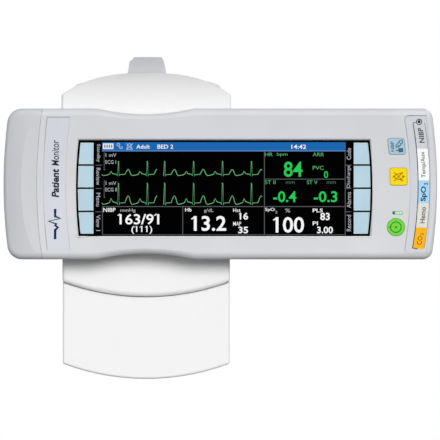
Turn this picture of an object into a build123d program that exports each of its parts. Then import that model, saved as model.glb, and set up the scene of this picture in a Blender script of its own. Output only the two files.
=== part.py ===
from build123d import *
import math
import os

# Bedside patient monitor seated in its docking station, in millimetres.
#
# Frame: origin at the centre of the rear bolt pattern of the dock, +X to the right seen from
# the front, +Y towards the wall behind the dock, +Z up. The screen faces -Y.

os.makedirs("parts", exist_ok=True)

# ---- Monitor: driving dimensions ------------------------------------------------------------
MONITOR_X = 50.0          # the monitor sits this far to the right of the dock's centre plane
MONITOR_W = 291.2
MONITOR_H = 101.2
END_BULGE = 3.9           # both ends bow outwards by this much
FRONT_Y = -104.0
FRAME_BACK_Y = -82.0
BACK_Y = -40.0
WALL = 2.4
LEFT_CORNER_R = 10.0
RIGHT_CORNER_R = 7.0
LEFT_CURVE_X = -121.0     # from here the front face curves back towards the left end
LEFT_CURVE_R = 45.0
FRONT_EDGE_R = 4.6
DISH_R = 600.0            # the front face is dished to this radius about a horizontal axis
DISH_HALF_H = 45.9
SCALLOP_HALF_W = 32.0     # thumb scallops above and below the dock
SCALLOP_DEPTH = 3.9
SCALLOP_BLEND_R = 25.0
CAVITY_FRONT_Y = FRONT_Y + 3.4
FRONT_HOUSING_BACK_Y = -85.6
REAR_HOUSING_FRONT_Y = -84.4
REAR_W_LEFT = 139.0       # rear body, measured from the monitor's centre
REAR_W_RIGHT = 138.0
REAR_HALF_H = 44.0
SEAM_X = -123.1           # joint between the housing and the left end cap
SEAM_GAP = 0.16

# ---- Screen, keys and panels, measured from the monitor's centre -------------------------------
LENS_X, LENS_Z = 2.7, -2.85
LENS_HALF_W, LENS_HALF_H = 97.6, 32.25
LENS_BULGE = 1.8
MASK_Y = -101.6
MASK_STEP_Y = -100.5
MASK_BACK_Y = -98.9
WINDOW = (-83.9, 88.3, -34.2, 28.5)          # x0, x1, z0, z1 of the glass
PANEL_SINK = 0.35         # the badge and label panels lie this far below the face
PANEL_GAP = 0.2           # around them, and more of it on the left and above
PANEL_BACK_Y = -101.6
KEY_ROWS_Z = (20.4, 4.85, -10.7, -26.25)
KEY_H = 14.5
KEY_INNER_LEFT, KEY_INNER_RIGHT = -84.9, 89.5
KEY_INSET = 1.35
KEY_GAP = 0.22
KEY_TOP_Y = -102.0
KEY_FOOT_Y = -97.2
KEY_TRAVEL = 0.6
BOARD_Y = -96.2

# ---- Dock: driving dimensions ---------------------------------------------------------------------
DOCK_HALF_W = 56.5
HOOD_HALF_W = 57.4        # the hood flares a little wider than the chin
DOCK_FRONT_Y = -80.0
DOCK_SPLIT_Y = -24.0
SPINE_FRONT_Y = -38.0
HOOD_TOP_Z, HOOD_SIDE_Z = 76.2, 60.4
HOOD_BEND = (0.6, 0.74)   # the hood's top edge passes here, as shares of its half width and rise
CREASE_MID_Z, CREASE_SIDE_Z = -76.0, -66.0
BASE_FRONT_Y = -76.0
CHIN_EDGE_R = 3.2         # round lower edge of the front shell
BASE_MID_Z, BASE_SIDE_Z = -131.7, -121.4
BASE_FLOOR_Z = BASE_MID_Z - 1.0
BASE_REAR_Z = -113.0
REAR_SHELL_HALF_W = 50.5
REAR_SHELL_TOP_Z, REAR_SHELL_SIDE_Z = 75.8, 68.6
REAR_SHELL_BOTTOM_Z = -110.0
THROAT_Z = (-44.7, 45.3)
DOCK_WALL = 2.5
PLATE_HALF = 46.0
PLATE_T = 3.0
BOLT_SPACING = 75.0
BOLT_HOLE_R = 2.1
DOCK_SOCKETS = {                  # centre x, half x, half y, shape
    "power": (-28.0, 6.5, 6.5, "round"),
    "network": (-2.0, 8.0, 6.2, "box"),
    "system": (25.0, 10.5, 6.2, "box"),
}
DOCK_SOCKET_Y = -13.0
PIVOT_Y, PIVOT_Z = -36.5, 59.0
LATCH_Y = -50.5
BIG = 400.0


# ---- Helpers -------------------------------------------------------------------------------------
def prism_y(face, y_front, y_back):
    """Extrude an outline drawn in X and Z from y_back forwards to y_front."""
    plane = Plane(origin=(0, y_back, 0), x_dir=(1, 0, 0), z_dir=(0, -1, 0))
    return extrude(plane * face, amount=y_back - y_front)


def prism_x(face, x0, x1):
    """Extrude an outline drawn in Y and Z from x0 to x1."""
    plane = Plane(origin=(x0, 0, 0), x_dir=(0, 1, 0), z_dir=(1, 0, 0))
    return extrude(plane * face, amount=x1 - x0)


def block(x0, x1, y0, y1, z0, z1):
    """A box given by its limits."""
    centre = ((x0 + x1) / 2, (y0 + y1) / 2, (z0 + z1) / 2)
    return Pos(*centre) * Box(x1 - x0, y1 - y0, z1 - z0)


def rod_y(x, z, radius, y0, y1):
    """A cylinder along Y."""
    return Pos(x, (y0 + y1) / 2, z) * Rot(90, 0, 0) * Cylinder(radius, abs(y1 - y0))


def rod_x(y, z, radius, x0, x1):
    """A cylinder along X."""
    return Pos((x0 + x1) / 2, y, z) * Rot(0, 90, 0) * Cylinder(radius, abs(x1 - x0))


def rod_z(x, y, radius, z0, z1):
    """A cylinder along Z."""
    return Pos(x, y, (z0 + z1) / 2) * Cylinder(radius, abs(z1 - z0))


def rounded_block(x0, x1, y0, y1, z0, z1, radius, axis=Axis.Y):
    """A box whose edges along one axis are rounded."""
    box = block(x0, x1, y0, y1, z0, z1)
    return fillet(box.edges().filter_by(axis), radius)


def at_monitor(shape):
    """Move a shape drawn about the monitor's centre to its place on the dock."""
    return Pos(MONITOR_X, 0, 0) * shape


def save(name, *shapes):
    """Write one sub-part, whose separate solids stay separate."""
    solids = [s for shape in shapes for s in shape.solids()]
    whole = solids[0] if len(solids) == 1 else Compound(children=solids)
    whole.label = name
    export_step(whole, f"parts/{name}.step")


# ---- Outlines --------------------------------------------------------------------------------------
def monitor_outline(inset=0.0):
    """Front outline of the monitor: bowed ends and a scallop in the top and bottom edge."""
    half_w, half_h = MONITOR_W / 2, MONITOR_H / 2
    end_x = half_w - END_BULGE
    left, mid, right = (-MONITOR_X + k * SCALLOP_HALF_W for k in (-1, 0, 1))
    dip = half_h - SCALLOP_DEPTH
    face = make_face([
        ThreePointArc((-end_x, -half_h), (-half_w, 0), (-end_x, half_h)),
        Line((-end_x, half_h), (left, half_h)),
        ThreePointArc((left, half_h), (mid, dip), (right, half_h)),
        Line((right, half_h), (end_x, half_h)),
        ThreePointArc((end_x, half_h), (half_w, 0), (end_x, -half_h)),
        Line((end_x, -half_h), (right, -half_h)),
        ThreePointArc((right, -half_h), (mid, -dip), (left, -half_h)),
        Line((left, -half_h), (-end_x, -half_h)),
    ])
    near = [v for v in face.vertices() if abs(v.X - mid) < SCALLOP_HALF_W + 1]
    face = fillet(near, SCALLOP_BLEND_R)
    face = fillet([v for v in face.vertices() if v.X < -end_x + 1], LEFT_CORNER_R)
    face = fillet([v for v in face.vertices() if v.X > end_x - 1], RIGHT_CORNER_R)
    return offset(face, amount=-inset) if inset else face


def end_radius():
    """Radius of the bowed ends."""
    half_h = MONITOR_H / 2
    return (half_h ** 2 + END_BULGE ** 2) / (2 * END_BULGE)


def left_rounding(inset=0.0):
    """Everything behind the front plane, which curves back along the left end."""
    radius, end_x = LEFT_CURVE_R - inset, -150.0
    centre_y = FRONT_Y + LEFT_CURVE_R

    def curve_y(x):
        return centre_y - math.sqrt(radius ** 2 - (x - LEFT_CURVE_X) ** 2)

    start, middle, end = ((x, curve_y(x)) for x in (LEFT_CURVE_X, (LEFT_CURVE_X + end_x) / 2, end_x))
    face = make_face([
        ThreePointArc(end, middle, start),
        Line(start, (160, FRONT_Y + inset)),
        Line((160, FRONT_Y + inset), (160, 0)),
        Line((160, 0), (end_x, 0)),
        Line((end_x, 0), end),
    ])
    return extrude(face, 60, both=True)


def side_of_seam(gap, left):
    """The space to the left or to the right of the end cap's seam."""
    radius, reach = end_radius(), 60.0
    middle = SEAM_X + gap
    edge = middle + radius - math.sqrt(radius ** 2 - reach ** 2)
    far = -BIG if left else BIG
    face = make_face([
        ThreePointArc((edge, -reach), (middle, 0), (edge, reach)),
        Line((edge, reach), (far, reach)),
        Line((far, reach), (far, -reach)),
        Line((far, -reach), (edge, -reach)),
    ])
    return prism_y(face, -150, 0)


def lens_outline(grow=0.0):
    """Outline of the screen opening, whose left and right sides bow outwards."""
    half_w, half_h = LENS_HALF_W + grow, LENS_HALF_H + grow
    mid = half_w + LENS_BULGE
    x0, x1, z0, z1 = LENS_X - half_w, LENS_X + half_w, LENS_Z - half_h, LENS_Z + half_h
    return make_face([
        ThreePointArc((x0, z0), (LENS_X - mid, LENS_Z), (x0, z1)),
        Line((x0, z1), (x1, z1)),
        ThreePointArc((x1, z1), (LENS_X + mid, LENS_Z), (x1, z0)),
        Line((x1, z0), (x0, z0)),
    ])


def bowed_panel(left_end, left_mid, right_end, right_mid, z0, z1, corner_r, grow=0.0):
    """A tall panel whose two long sides are arcs. It is given at its ends and at its middle."""
    zm = (z0 + z1) / 2
    face = make_face([
        ThreePointArc((left_end, z0), (left_mid, zm), (left_end, z1)),
        Line((left_end, z1), (right_end, z1)),
        ThreePointArc((right_end, z1), (right_mid, zm), (right_end, z0)),
        Line((right_end, z0), (left_end, z0)),
    ])
    if corner_r:
        face = fillet([v for v in face.vertices() if v.X < (left_end + right_end) / 2], corner_r)
    return offset(face, amount=grow) if grow else face


def label_outline(grow=0.0):
    """Outline of the connector label panel near the right end."""
    return bowed_panel(123.3, 127.6, 138.1, 140.9, -46.2, 45.6, 2.8, grow)


def badge_outline(grow=0.0):
    """Outline of the plain badge panel near the left end."""
    return bowed_panel(-115.7, -118.4, -100.6, -103.6, -44.2, 44.6, 0, grow)


# ---- Monitor casing ---------------------------------------------------------------------------------
def front_block():
    """The front frame as a solid block, with rounded front edges and a left end that curves back."""
    body = prism_y(monitor_outline(), FRONT_Y, FRAME_BACK_Y) & left_rounding()
    body = body.solids()[0]
    rim = []
    for e in body.edges():
        c = e.center()
        crease = abs(c.X - LEFT_CURVE_X) < 1 and abs(c.Z) < 30
        if e.bounding_box().max.Y < FRAME_BACK_Y - 0.01 and not crease:
            rim.append(e)
    return fillet(rim, FRONT_EDGE_R)


def dish():
    """The large cylinder that hollows the front face very slightly."""
    centre_y = FRONT_Y - math.sqrt(DISH_R ** 2 - DISH_HALF_H ** 2)
    return rod_x(centre_y, 0, DISH_R, -170, 170)


def rear_block(inset):
    """The rear body as a solid block."""
    body = block(-REAR_W_LEFT + inset, REAR_W_RIGHT - inset, FRAME_BACK_Y - 5, BACK_Y - inset,
                 -REAR_HALF_H + inset, REAR_HALF_H - inset)
    left = [e for e in body.edges().filter_by(Axis.Y) if e.center().X < 0]
    body = fillet(left, 9.0 - inset)
    right = [e for e in body.edges().filter_by(Axis.Y) if e.center().X > 0]
    body = fillet(right, 3.2 - inset)
    rim = [e for e in body.edges() if e.bounding_box().min.Y > BACK_Y - inset - 0.01]
    return fillet(rim, 3.0 - inset)


outer_skin = front_block() - dish()
front_cavity = prism_y(monitor_outline(WALL), CAVITY_FRONT_Y, REAR_HOUSING_FRONT_Y)
front_cavity &= left_rounding(WALL)
rear_cavity = rear_block(WALL) & block(-BIG, BIG, REAR_HOUSING_FRONT_Y, 0, -BIG, BIG)
hollow = (outer_skin + rear_block(0.0)) - front_cavity - rear_cavity
main_shell = hollow & side_of_seam(SEAM_GAP, left=False)
end_cap = hollow & side_of_seam(0.0, left=True)

SCREW_XS = (-112.0, 16.0, 70.0, 117.0)     # along the ledge behind the front frame
SCREW_Z = 47.0
SCREWS = [(x, s * SCREW_Z) for x in SCREW_XS for s in (1, -1)]


def face_y(z):
    """Y of the dished front face at height z."""
    return FRONT_Y + (DISH_HALF_H ** 2 - z ** 2) / (2 * DISH_R)


# Front keys: centre x, centre z, half width, half height, lean of the sides. Round if half height is 0.
FRONT_KEYS = {
    "pressure_key": (118.3, 25.2, 5.5, 5.4, 0.11),
    "alarm_pause_key": (119.6, 4.9, 5.7, 5.8, 0.02),
    "power_key": (117.8, -29.0, 5.85, 0.0, 0.0),
}
KEY_CORNER_R = 1.4
LIGHT_PIPE = (118.9, -19.4, 3.5, 1.2)


def key_outline(name, grow=0.0):
    """Outline of one front key, whose sides may lean to the left as they rise."""
    x, z, half_w, half_h, lean = FRONT_KEYS[name]
    if not half_h:
        return Pos(x, z) * Circle(half_w + grow)
    w, h = half_w + grow, half_h + grow
    shift = lean * h
    face = make_face(Polyline((-w + shift, -h), (w + shift, -h), (w - shift, h), (-w - shift, h), close=True))
    return Pos(x, z) * fillet(face.vertices(), max(KEY_CORNER_R + grow, 0.8))


def pipe_outline(grow=0.0):
    """Outline of the charge light's window."""
    x, z, half_w, half_h = LIGHT_PIPE
    return Pos(x, z) * RectangleRounded(2 * (half_w + grow), 2 * (half_h + grow), 0.9 + grow)


def front_housing():
    body = main_shell & block(-BIG, BIG, -150, FRONT_HOUSING_BACK_Y, -BIG, BIG)
    for x, z in SCREWS:
        body += rod_y(x, z, 3.0, CAVITY_FRONT_Y - 0.5, FRONT_HOUSING_BACK_Y) & outer_skin
    body -= prism_y(lens_outline(), -120, -90)
    body -= loft([Plane(origin=(0, -104.6, 0), x_dir=(1, 0, 0), z_dir=(0, -1, 0)) * lens_outline(2.2),
                  Plane(origin=(0, -101.9, 0), x_dir=(1, 0, 0), z_dir=(0, -1, 0)) * lens_outline(-0.01)])
    for name in FRONT_KEYS:
        body -= prism_y(key_outline(name, KEY_GAP), -120, -95)
    body -= prism_y(pipe_outline(0.05), -120, -95)
    for outline in (label_outline, badge_outline):
        body -= Pos(-PANEL_GAP / 2, 0, PANEL_GAP / 2) * prism_y(outline(PANEL_GAP), -120, PANEL_BACK_Y + 0.1)
    for x, z in SCREWS:
        body -= rod_y(x, z, 1.5, -97.0, -80.0)
    return body


def inlay(outline):
    """A thin inlay that follows the dished face, sunk a little below it."""
    skin = Pos(0, PANEL_SINK, 0) * outer_skin
    return prism_y(outline, -110, PANEL_BACK_Y) & skin


CONTACT_XS = [k * 5.0 for k in (-2, -1, 0, 1, 2)]
CONTACT_Z = -14.0
IR_Z = 14.0
GUIDE_X = 36.0
RECESS = (-45.0, 45.0, -33.0, 33.0)          # docking recess, from the dock's centre
RECESS_FLOOR_Y = -47.5
BAY = (70.0, 148.0, -37.0, 37.0)             # battery bay, from the dock's centre
BAY_FLOOR_Y = -66.0
SOCKETS = {
    "nibp_connector": (31.0, 7.4, 7.4, "round"),
    "temp_aux_socket": (13.2, 7.6, 6.2, "box"),
    "spo2_socket": (-4.2, 7.6, 5.8, "box"),
    "hemo_socket": (-20.0, 6.2, 6.2, "round"),
    "co2_socket": (-35.2, 7.2, 4.9, "box"),
}
SOCKET_Y = -61.0
SOCKET_FACE_X = MONITOR_X + REAR_W_RIGHT
SPEAKER_X, SPEAKER_Z, SPEAKER_R = -60.5, -8.0, 11.0


def socket_plug(name, grow, x0, x1):
    """The plug-shaped solid of a socket's outline, between two X values."""
    z, half_y, half_z, kind = SOCKETS[name]
    if kind == "round":
        return rod_x(SOCKET_Y, z, half_y + grow, x0, x1)
    return rounded_block(x0, x1, SOCKET_Y - half_y - grow, SOCKET_Y + half_y + grow,
                         z - half_z - grow, z + half_z + grow, 1.6, Axis.X)


def rear_housing():
    body = at_monitor(main_shell & block(-BIG, BIG, REAR_HOUSING_FRONT_Y, 0, -BIG, BIG))
    # The docking recess and the battery bay are boxes let into the back.
    x0, x1, z0, z1 = RECESS
    body += block(x0 - WALL, x1 + WALL, RECESS_FLOOR_Y - WALL, BACK_Y - 1, z0 - WALL, z1 + WALL)
    recess = rounded_block(x0, x1, RECESS_FLOOR_Y, 0, z0, z1, 4.0)
    body -= recess
    x0, x1, z0, z1 = BAY
    body += block(x0 - 2, x1 + 2, BAY_FLOOR_Y - 2, BACK_Y - 1, z0 - 2, z1 + 2)
    body -= rounded_block(x0, x1, BAY_FLOOR_Y, 0, z0, z1, 2.0)
    # Catch groove for the latch, in the top of the rear body.
    body += block(-14, 14, LATCH_Y - 7, LATCH_Y + 7, 38.0, REAR_HALF_H - 1)
    body -= block(-11, 11, LATCH_Y - 4, LATCH_Y + 4, 41.0, 60)
    for x in (-GUIDE_X, GUIDE_X):
        body -= rod_y(x, 0, 4.0, -60, -40)
    body -= rod_y(0, IR_Z, 5.0, -60, -40)
    body -= block(-13.5, 13.5, -60, -40, CONTACT_Z - 4, CONTACT_Z + 4)
    for name in SOCKETS:
        body -= socket_plug(name, 0.1, SOCKET_FACE_X - 4, SOCKET_FACE_X + 4)
    # Speaker slots, cooling slots above and below, and screw holes in the ledge.
    for k in range(-2, 3):
        half = math.sqrt(SPEAKER_R ** 2 - (4.2 * k) ** 2) - 1.5
        body -= block(SPEAKER_X + 4.2 * k - 0.9, SPEAKER_X + 4.2 * k + 0.9, -44, -38,
                      SPEAKER_Z - half, SPEAKER_Z + half)
    for k in range(9):
        x = 78.0 + 9.0 * k
        body -= block(x - 1.2, x + 1.2, -78.0, -70.5, -60, 60)
    for x, z in SCREWS:
        body -= rod_y(MONITOR_X + x, z, 1.7, -90.0, -80.0)
    return body


def gasket():
    ring = prism_y(monitor_outline(0.5), FRONT_HOUSING_BACK_Y, REAR_HOUSING_FRONT_Y)
    ring -= prism_y(monitor_outline(WALL + 0.4), FRONT_HOUSING_BACK_Y - 1, REAR_HOUSING_FRONT_Y + 1)
    for x, z in SCREWS:
        ring += rod_y(x, z, 2.6, FRONT_HOUSING_BACK_Y, REAR_HOUSING_FRONT_Y)
    for x, z in SCREWS:
        ring -= rod_y(x, z, 1.7, -90.0, -80.0)
    ring &= side_of_seam(SEAM_GAP, left=False)
    return ring


def housing_screws():
    made = []
    for x, z in SCREWS:
        shank = rod_y(x, z, 1.4, -95.0, FRAME_BACK_Y)
        head = rod_y(x, z, 2.5, FRAME_BACK_Y, FRAME_BACK_Y + 1.7)
        drive = extrude(RegularPolygon(1.2, 6), 0.9, both=True)
        made.append(shank + head - Pos(x, FRAME_BACK_Y + 1.7, z) * Rot(90, 0, 0) * drive)
    return made


save("front_housing", at_monitor(front_housing()))
save("rear_housing", rear_housing())
save("alarm_lens", at_monitor(end_cap))
save("housing_gasket", at_monitor(gasket()))
save("housing_screws", *[at_monitor(s) for s in housing_screws()])
save("badge_panel", at_monitor(inlay(badge_outline())))
save("label_panel", at_monitor(inlay(label_outline())))


# ---- Screen and keys -----------------------------------------------------------------------------------
def soft_key(side, row):
    """One soft key: a flat cap beside the screen whose outer side follows the bowed opening."""
    z = KEY_ROWS_Z[row]
    low, high = z - KEY_H / 2, z + KEY_H / 2
    x0, x1 = (-BIG, KEY_INNER_LEFT) if side == "left" else (KEY_INNER_RIGHT, BIG)
    strip = block(x0, x1, KEY_TOP_Y, MASK_BACK_Y + 0.2, low, high)
    cap = prism_y(lens_outline(-KEY_INSET), -110, -90) & strip
    cap = fillet(cap.edges().group_by(Axis.Y)[0], 0.25)
    foot_strip = block(x0, x1, MASK_BACK_Y + 0.2, KEY_FOOT_Y, low + 1, high - 1)
    foot = prism_y(lens_outline(-KEY_INSET + 0.9), -110, -90) & foot_strip
    return cap + foot


def key_hole(side, row):
    """The hole in the mask that a soft key moves in."""
    z = KEY_ROWS_Z[row]
    low, high = z - KEY_H / 2 - KEY_GAP, z + KEY_H / 2 + KEY_GAP
    inner = KEY_INNER_LEFT + KEY_GAP if side == "left" else KEY_INNER_RIGHT - KEY_GAP
    x0, x1 = (-BIG, inner) if side == "left" else (inner, BIG)
    hole = prism_y(lens_outline(-KEY_INSET + KEY_GAP), -120, -80)
    return hole & block(x0, x1, -120, -80, low, high)


def display_mask():
    x0, x1, z0, z1 = WINDOW
    body = prism_y(lens_outline(-0.2), MASK_Y, MASK_STEP_Y)
    body += prism_y(lens_outline(2.6), MASK_STEP_Y, MASK_BACK_Y)
    body -= block(x0, x1, -120, -80, z0, z1)
    for side in ("left", "right"):
        for row in range(len(KEY_ROWS_Z)):
            body -= key_hole(side, row)
    return body


def touch_glass():
    x0, x1, z0, z1 = WINDOW
    glass = block(x0 + 0.15, x1 - 0.15, MASK_Y, MASK_BACK_Y - 0.1, z0 + 0.15, z1 - 0.15)
    return fillet(glass.edges().group_by(Axis.Y)[0], 0.2)


def lcd_module():
    x0, x1, z0, z1 = WINDOW
    frame = block(x0 + 0.2, x1 - 0.2, MASK_BACK_Y + 0.1, -92.4, z0 - 1.6, z1 + 1.6)
    frame = chamfer(frame.edges().filter_by(Axis.Y), 1.0)
    driver = block(-40, 20, -92.4, -91.2, -34, -20)
    return [frame, driver]


def soft_key_boards():
    made = []
    for x0, x1, side in ((-97.0, -84.9, "left"), (89.5, 102.4, "right")):
        board = block(x0, x1, BOARD_Y, BOARD_Y + 1.0, -35.5, 30.0)
        middle = (x0 + x1) / 2
        domes = [rod_y(middle, z, 3.6, BOARD_Y - 0.3, BOARD_Y) for z in KEY_ROWS_Z]
        made += [board, *domes]
    return made


def front_key(name):
    """A front key with a retaining flange behind the housing wall."""
    z = FRONT_KEYS[name][1]
    top = face_y(z) - 0.35
    cap = prism_y(key_outline(name), top, CAVITY_FRONT_Y + 0.4)
    cap = fillet(cap.edges().group_by(Axis.Y)[0], 0.3)
    flange = prism_y(key_outline(name, 1.0), CAVITY_FRONT_Y + 0.4, CAVITY_FRONT_Y + 1.4)
    stem = prism_y(key_outline(name, -2.5), CAVITY_FRONT_Y + 1.4, KEY_FOOT_Y)
    return cap + flange + stem


def front_key_board():
    board = block(108.5, 127.0, BOARD_Y, BOARD_Y + 1.2, -38.0, 34.0)
    domes = [rod_y(k[0], k[1], 3.6, BOARD_Y - 0.3, BOARD_Y) for k in FRONT_KEYS.values()]
    x, z = LIGHT_PIPE[:2]
    lamps = [block(x + dx - 0.8, x + dx + 0.8, BOARD_Y - 0.7, BOARD_Y, z - 0.6, z + 0.6)
             for dx in (-2, 2)]
    return [board, *domes, *lamps]


def light_pipe():
    top = face_y(LIGHT_PIPE[1]) - 0.05
    pipe = prism_y(pipe_outline(), top, BOARD_Y - 0.9)
    flange = prism_y(pipe_outline(0.7), CAVITY_FRONT_Y + 0.05, CAVITY_FRONT_Y + 0.9)
    return pipe + flange


save("display_mask", at_monitor(display_mask()))
save("touch_glass", at_monitor(touch_glass()))
save("lcd_module", *[at_monitor(s) for s in lcd_module()])
save("key_boards", *[at_monitor(s) for s in soft_key_boards() + front_key_board()])
save("charge_light_pipe", at_monitor(light_pipe()))
for side in ("left", "right"):
    for row in range(len(KEY_ROWS_Z)):
        save(f"soft_key_{side}_{row + 1}", at_monitor(soft_key(side, row)))
for key_name in FRONT_KEYS:
    save(key_name, at_monitor(front_key(key_name)))


# ---- Inside the monitor -----------------------------------------------------------------------------
def chassis_plate():
    """Bent steel tray that carries the screen in front and the main board behind."""
    plate = block(-56, 156, -90.0, -89.0, -38, 38)
    lips = block(-56, 156, -89.0, -78.0, 37, 38) + block(-56, 156, -89.0, -78.0, -38, -37)
    tray = plate + lips
    for k in range(5):
        tray -= rounded_block(-44 + 40 * k, -20 + 40 * k, -92, -86, -24, 24, 5.0)
    return tray


def main_board():
    board = block(-54, 154, -75.0, -73.4, -36, 36)
    chips = [block(x, x + w, -75.0 - t, -75.0, z, z + h) for x, w, t, z, h in (
        (-40, 30, 2.6, -10, 30), (0, 22, 1.6, -28, 22), (34, 34, 3.4, 2, 28),
        (84, 18, 1.4, -24, 18), (112, 30, 3.0, -6, 34))]
    return [board, *chips]


def alarm_led_board():
    """A narrow upright board behind the left end cap, with a row of lamps."""
    x = MONITOR_X + SEAM_X - 2.0
    board = block(x, x + 1.4, -96.0, -50.0, -36, 36)
    lamps = [block(x - 1.2, x, -86.0, -82.0, z - 2, z + 2) for z in range(-30, 31, 12)]
    return [board, *lamps]


def speaker():
    basket = rod_y(SPEAKER_X, SPEAKER_Z, SPEAKER_R, -45.2, -42.6)
    magnet = rod_y(SPEAKER_X, SPEAKER_Z, 7.0, -51.5, -45.2)
    return basket + magnet


def nibp_pump():
    motor = rod_x(-61.5, 22.0, 10.0, -44.0, -14.0)
    head = rounded_block(-14.0, 4.0, -70.5, -52.5, 13.0, 31.0, 3.0, Axis.X)
    port = rod_x(-61.5, 22.0, 1.9, 4.0, 10.0)
    return motor + head + port


def nibp_valve():
    body = rounded_block(10.0, 28.0, -70.0, -54.0, 14.0, 30.0, 2.0, Axis.X)
    port = rod_x(-62.0, 22.0, 1.2, 28.0, 34.0)
    return body + port


HOSE_ROUTE = [(34.0, -62.0, 22.0), (46.0, -62.0, 22.0), (62.0, -71.0, 24.0), (104.0, -71.0, 26.0),
              (150.0, -71.0, 30.0), (162.0, -61.0, 31.0), (170.2, -61.0, 31.0)]
HOSE_R = 1.7


def nibp_hose():
    """Silicone hose from the valve to the cuff connector, laid in front of the battery bay."""
    path = FilletPolyline(*HOSE_ROUTE, radius=9.0)
    start = Plane(origin=path @ 0, z_dir=path % 0)
    return sweep(start * Circle(HOSE_R), path=path)


def socket_cup(name):
    """A panel socket on the right end: a flanged cup with short pins or a nipple inside."""
    z, half_y, half_z, kind = SOCKETS[name]
    body = socket_plug(name, 0.0, SOCKET_FACE_X - 13.0, SOCKET_FACE_X + 1.4)
    body -= socket_plug(name, -1.5, SOCKET_FACE_X - 9.0, SOCKET_FACE_X + 3.0)
    floor = SOCKET_FACE_X - 9.0
    if name == "nibp_connector":
        body += rod_x(SOCKET_Y, z, 2.0, floor - 0.5, floor + 2.2)
        body += rod_x(SOCKET_Y, z, 1.5, SOCKET_FACE_X - 17.8, SOCKET_FACE_X - 12.5)
        body -= rod_x(SOCKET_Y, z, 0.9, SOCKET_FACE_X - 20.0, SOCKET_FACE_X)
        return body
    rows = (-1.6, 1.6) if kind == "box" else (-2.0, 2.0)
    for dz in rows:
        for dy in (-3.0, -1.0, 1.0, 3.0):
            body += rod_x(SOCKET_Y + dy, z + dz, 0.45, floor - 0.5, floor + 2.0)
    return body


def contact_pads():
    carrier = block(-13.3, 13.3, RECESS_FLOOR_Y - 3.0, RECESS_FLOOR_Y - 0.3,
                    CONTACT_Z - 3.8, CONTACT_Z + 3.8)
    pads = [rod_y(x, CONTACT_Z, 2.0, RECESS_FLOOR_Y - 0.3, RECESS_FLOOR_Y + 0.1) for x in CONTACT_XS]
    terminals = [block(x, x + 3, BAY_FLOOR_Y, BAY_FLOOR_Y + 0.4, -34, -28) for x in (74, 79, 84, 89)]
    return [carrier, *pads, *terminals]


save("chassis_plate", chassis_plate())
save("main_board", *main_board())
save("alarm_led_board", *alarm_led_board())
save("speaker", speaker())
save("nibp_pump", nibp_pump())
save("nibp_valve", nibp_valve())
save("nibp_hose", nibp_hose())
for socket_name in SOCKETS:
    save(socket_name, socket_cup(socket_name))
save("contact_pads", *contact_pads())
save("monitor_ir_window", rod_y(0, IR_Z, 4.9, RECESS_FLOOR_Y - 2.0, RECESS_FLOOR_Y - 0.2))


# ---- Battery pack ----------------------------------------------------------------------------------------
CELL_R, CELL_L = 9.2, 65.0
CASE = (70.5, 147.5, -36.5, 36.5)
CASE_FRONT_Y, CASE_BACK_Y = -65.4, -43.4
COVER_Y = -40.0


def battery_case():
    x0, x1, z0, z1 = CASE
    body = rounded_block(x0, x1, CASE_FRONT_Y, CASE_BACK_Y, z0, z1, 1.6)
    body -= block(x0 + 1.5, x1 - 1.5, CASE_FRONT_Y + 1.5, CASE_BACK_Y - 1.5, z0 + 1.5, z1 - 1.5)
    return body


def battery_cells():
    middle = (CASE_FRONT_Y + CASE_BACK_Y) / 2
    start = CASE[0] + 3.0
    cells = [rod_x(middle, dz, CELL_R, start, start + CELL_L) for dz in (-21.0, 0.0, 21.0)]
    board = block(start + CELL_L + 3, start + CELL_L + 4.4, -62.0, -47.0, -32, 32)
    return [*cells, board]


def battery_cover():
    x0, x1, z0, z1 = CASE
    plate = rounded_block(x0 - 0.2, x1 + 0.2, CASE_BACK_Y, COVER_Y, z0 - 0.2, z1 + 0.2, 1.9)
    plate -= block(79.0, 95.0, -41.6, -30, -6.0, 6.0)       # slot of the latch button
    plate -= block(69.0, 90.0, -42.9, -41.6, -4.3, 4.3)     # channel of its tongue
    for k in range(5):                                      # grip ribs
        plate -= block(122.0 + 4.0 * k, 123.6 + 4.0 * k, -40.8, -30, -16.0, 16.0)
    return plate


def battery_latch():
    button = rounded_block(79.4, 89.4, -41.4, -39.6, -5.6, 5.6, 1.0)
    for k in range(3):
        button -= block(82.0 + 2.4 * k, 83.0 + 2.4 * k, -40.1, -30, -4.0, 4.0)
    tongue = block(70.4, 84.0, -42.6, -41.7, -4.0, 4.0)
    web = block(80.0, 84.0, -42.6, -41.3, -4.0, 4.0)
    return button + tongue + web


save("battery_case", battery_case())
save("battery_cells", *battery_cells())
save("battery_cover", battery_cover())
save("battery_latch", battery_latch())


# ---- Dock ------------------------------------------------------------------------------------------------
def bow(x0, x1, side_z, mid_z):
    """An edge from (x0, side_z) to (x1, side_z): an arc, or a line if it doesn't rise."""
    if abs(side_z - mid_z) < 0.02:
        return Line((x0, side_z), (x1, side_z))
    return ThreePointArc((x0, side_z), ((x0 + x1) / 2, mid_z), (x1, side_z))


def dock_outline(half_w, top_mid, top_side, bottom_mid, bottom_side):
    """Front outline of a dock shell: straight sides between a bowed top and bottom."""
    return make_face([
        Line((-half_w, bottom_side), (-half_w, top_side)),
        bow(-half_w, half_w, top_side, top_mid),
        Line((half_w, top_side), (half_w, bottom_side)),
        bow(half_w, -half_w, bottom_side, bottom_mid),
    ])


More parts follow.
